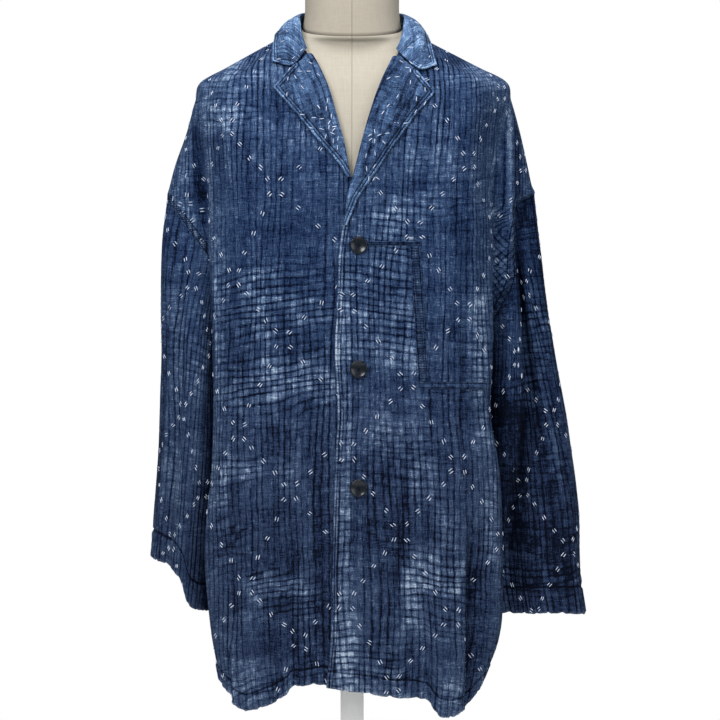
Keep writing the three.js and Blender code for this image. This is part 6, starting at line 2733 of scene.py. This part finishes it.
@dataclass
class Form:
    """The limbless dress form: a linen torso and neck, with their seams."""

    palette: Palette
    around: int = 160
    square: float = 0.9

    def loft(self, name: str, rows: Table, lift: float, step: float,
             material: bpy.types.Material) -> bpy.types.Object:
        """A closed smooth loft over rows of rounded sections.

        Args:
            name: the piece, and the CAD node it stands for.
            rows: the sections.
            lift: how far it's raised.
            step: height of one cell.
            material: its linen.

        Returns:
            The piece.
        """
        z = rows["z"]
        count = [max(1, round((b - a) / step)) for a, b in zip(z, z[1:])]
        heights = np.concatenate([[z[0]]] + [
            np.linspace(a, b, n + 1)[1:] for a, b, n in zip(z, z[1:], count)])
        last = len(heights) - 1
        profile = [(0, 0, 0), *[(1, 0, k) for k in range(last + 1)], (0, 0, last)]
        mesh = mesh_of(spun(profile, self.around, weld=1e-5), name)
        co = co_of(mesh)
        at = heights[np.round(co[:, 2]).astype(int)]
        row = {k: rows.read("z", k, at) for k in rows.columns}
        radius = np.round(np.hypot(co[:, 0], co[:, 1]))
        angle = np.arctan2(co[:, 0], -co[:, 1])
        power = lambda v: np.sign(v) * np.abs(v) ** self.square
        reach = np.where(np.cos(angle) > 0, -row["front_y"], row["back_y"])
        x = radius * row["half_x"] * power(np.sin(angle))
        y = -radius * reach * power(np.cos(angle))
        top = at + lift + row["tilt"] * y + HEM_LIFT
        mesh.vertices.foreach_set("co", (np.stack([x, y, top], axis=1) * MM).ravel())
        vertex = whole_numbers(mesh.loops, "vertex_index")
        set_uv(mesh, np.stack([np.hypot(x, y) * angle, at], -1)[vertex])
        seam = np.where(radius > 0, x, FAR)
        set_corner(mesh, "sewn", np.stack([seam, at, at], -1)[vertex])
        face_out(mesh)
        piece = keep(name, mesh, material)
        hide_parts(name)
        return piece

    def build(self) -> None:
        """Build the torso and the neck."""
        torso = self.loft("form_torso", TORSO_ROWS, 0.0, 7.0, self.palette.linen)
        neck = self.loft("form_neck", NECK_ROWS, 0.3, 4.0, self.palette.neck_linen)
        LOG.info("form: %s and %s", torso.name, neck.name)


# ------------------------------------------------------------------ buttons and stand
def turned(profile: Rows, steps: int) -> bmesh.types.BMesh:
    """A turned body about Z, from a profile of radius and height that starts and ends at 0."""
    return spun([(x * MM, 0, z * MM) for x, z in profile], steps, weld=1e-7)


@dataclass
class Buttons:
    """Three dished sew-through buttons with dark thread."""

    palette: Palette
    radius: float = 10.5
    thick: float = 3.6
    rim: float = 2.2
    dish: float = 1.7
    x: float = 8.0
    levels: tuple[float, ...] = (562, 415, 274)
    clear: float = 0.4
    hole_apart: float = 2.1
    hole: float = 0.65
    bar: tuple[float, float] = (2.0, 0.36)
    bar_apart: float = 0.64

    def profile(self) -> list[tuple[float, float]]:
        """The rounded section of a button.

        Returns:
            Pairs of radius and height, in millimetres.
        """
        r, t = self.radius, self.thick
        bend = np.linspace(-math.pi / 2, math.pi / 2, 11)
        outer = [(r - 1.2 + 1.2 * math.cos(a), t / 2 + t / 2 * math.sin(a)) for a in bend]
        lip = r - self.rim
        bowl = [(x, t - 0.3 - (self.dish - 0.3) * (1 - (x / lip) ** 2))
                for x in np.linspace(lip, 0.4, 12)]
        return [(0, 0), (r - 2.5, 0), *outer, (r - 1.7, t - 0.05), *bowl, (0, t - self.dish)]

    def build(self) -> None:
        """Place the buttons on the lapping front."""
        front = FRONTS[Side.LEFT]
        for name, level in zip(("button_top", "button_middle", "button_low"), self.levels):
            at, here = np.array([level], float), np.array([self.x])
            share = front.share_at(here, at)
            out = front.directions(share, at)[1][0]
            spot = placed(front.spots(share, at))[0] + out * self.clear
            turn = Vector((0, 0, 1)).rotation_difference(Vector(out)).to_matrix().to_4x4()
            where = Matrix.Translation(Vector(spot * MM)) @ turn
            bm = turned(self.profile(), 48)
            bm.transform(where)
            piece = keep(name, mesh_of(bm, name), self.palette.button)
            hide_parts(name)
            self.thread(name, where)

    def thread(self, name: str, where: Matrix) -> None:
        """Two bars of thread between four holes.

        Args:
            name: the button's name.
            where: where the button lies.
        """
        bm = bmesh.new()
        face = self.thick - self.dish
        long, wide = self.bar
        for y in (-self.hole_apart / 2, self.hole_apart / 2):
            for x in (-self.hole_apart / 2, self.hole_apart / 2):
                spot = Matrix.Translation((x * MM, y * MM, face * MM))
                bmesh.ops.create_cone(bm, cap_ends=True, segments=12, radius1=self.hole * MM,
                                      radius2=self.hole * MM, depth=0.35 * MM, matrix=spot)
            for off in (-self.bar_apart / 2, self.bar_apart / 2):
                bar = Matrix.Translation((0, (y + off) * MM, (face + 0.4) * MM))
                bar = bar @ Matrix.Diagonal((long * MM, wide * MM, wide * MM, 1))
                bmesh.ops.create_uvsphere(bm, u_segments=8, v_segments=6, radius=1, matrix=bar)
        bm.transform(where)
        keep(f"thread_{name}", mesh_of(bm, "bars"), self.palette.dark_thread)


@dataclass
class Stand:
    """The white pole and flat round base under the form."""

    palette: Palette
    pole: float = 14.0
    base: float = 150.0
    thick: float = 10.0
    bevel: float = 3.0
    gap: float = 0.3

    def build(self) -> None:
        """Turn the pole and the base."""
        foot, top = self.thick + self.gap, HEM_LIFT + TORSO_ROWS["z"][0] - self.gap
        r = self.pole
        shaft = turned([(0, foot), (r, foot), (r, top), (0, top)], 64)
        b, t, v = self.base, self.thick, self.bevel
        eased = [(b - v + v * math.cos(a), t - v + v * math.sin(a))
                 for a in np.linspace(0, math.pi / 2, 7)]
        disc = turned([(0, 0), (b - 0.6, 0), (b, 0.6), *eased, (b * 0.5, t), (0, t)], 128)
        for name, bm in (("pole", shaft), ("base", disc)):
            piece = keep(name, mesh_of(bm, name), self.palette.paint)
            if name == "pole":
                piece.data.polygons.foreach_set(
                    "use_smooth", [abs(p.normal.z) < 0.5 for p in piece.data.polygons])
            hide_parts(name)


# ------------------------------------------------------------------ studio
LAMPS = (
    ("key", (-1.3, -2.4, 2.3), 1.1, 74), ("fill", (1.9, -2.4, 1.4), 1.8, 30),
    ("top", (0.0, -0.5, 2.6), 1.0, 36), ("rear", (0.6, 2.6, 2.0), 2.0, 30),
)


@dataclass
class Studio:
    """A pale floor, soft light and a camera level with the middle of the jacket."""

    distance: float = 6.0
    centre_x: float = 0.0096
    centre_z: float = 0.576
    width: float = 0.864
    plane_y: float = -0.06
    floor_radius: float = 1.6

    def floor(self) -> None:
        """A plain pale floor."""
        bm = bmesh.new()
        bmesh.ops.create_circle(bm, cap_ends=True, segments=96, radius=self.floor_radius,
                                matrix=Matrix.Translation((0, 0, -0.0005)))
        obj = linked("floor", mesh_of(bm, "floor"))
        r = Recipe("pale_floor")
        place = r.node("ShaderNodeTexCoord", {})[3]
        cloud = r.noise(place, (3, 3, 3), 2, 1.0)
        obj.data.materials.append(r.finish(
            Base_Color=r.ramp(0.5 + cloud, [(0.0, (232, 232, 230)), (1.0, (240, 240, 239))]),
            Roughness=0.7))

    def lamp(self, name: str, place: Sequence[float], size: float, power: float) -> None:
        """A square soft lamp that faces the jacket.

        Args:
            name: its name.
            place: where it stands, in metres.
            size: the length of its side.
            power: its strength in watts.
        """
        data = bpy.data.lights.new(name, "AREA")
        data.shape, data.size, data.energy = "SQUARE", size, power
        obj = linked(name, data)
        obj.location = place
        aim = Vector((0, 0, 0.6)) - Vector(place)
        obj.rotation_euler = aim.to_track_quat("-Z", "Y").to_euler()

    def surroundings(self) -> None:
        """A white world that lights softly."""
        world = bpy.data.worlds.new("studio")
        bpy.context.scene.world = world
        world.use_nodes = True
        tree = world.node_tree
        tree.nodes.clear()
        path = tree.nodes.new("ShaderNodeLightPath")
        either = tree.nodes.new("ShaderNodeMixShader")
        out = tree.nodes.new("ShaderNodeOutputWorld")
        tree.links.new(path.outputs["Is Camera Ray"], either.inputs[0])
        tree.links.new(either.outputs[0], out.inputs[0])
        for socket, colour, power in ((1, (0.93, 0.96, 1, 1), 0.36), (2, (1, 1, 1, 1), 1.0)):
            light = tree.nodes.new("ShaderNodeBackground")
            light.inputs[0].default_value, light.inputs[1].default_value = colour, power
            tree.links.new(light.outputs[0], either.inputs[socket])

    def camera(self) -> None:
        """A long lens, level, in front."""
        data = bpy.data.cameras.new("camera")
        data.lens = 36.0 * (self.distance + self.plane_y) / self.width
        data.clip_end = 50
        obj = linked("camera", data)
        obj.location = (self.centre_x, -self.distance, self.centre_z)
        obj.rotation_euler = (math.pi / 2, 0, 0)
        bpy.context.scene.camera = obj

    def build(self) -> None:
        """Set up the studio."""
        self.floor()
        for name, place, size, power in LAMPS:
            self.lamp(name, place, size, power)
        self.surroundings()
        self.camera()
        view = bpy.context.scene.view_settings
        view.view_transform = "Standard"


def main() -> None:
    """Build the object and its studio."""
    logging.basicConfig(level=logging.INFO, format="%(name)s: %(message)s")
    palette = Palette.mixed()
    Form(palette).build()
    Stand(palette).build()
    Jacket(palette).build()
    Buttons(palette).build()
    Studio().build()


if __name__ == "__main__":
    main()
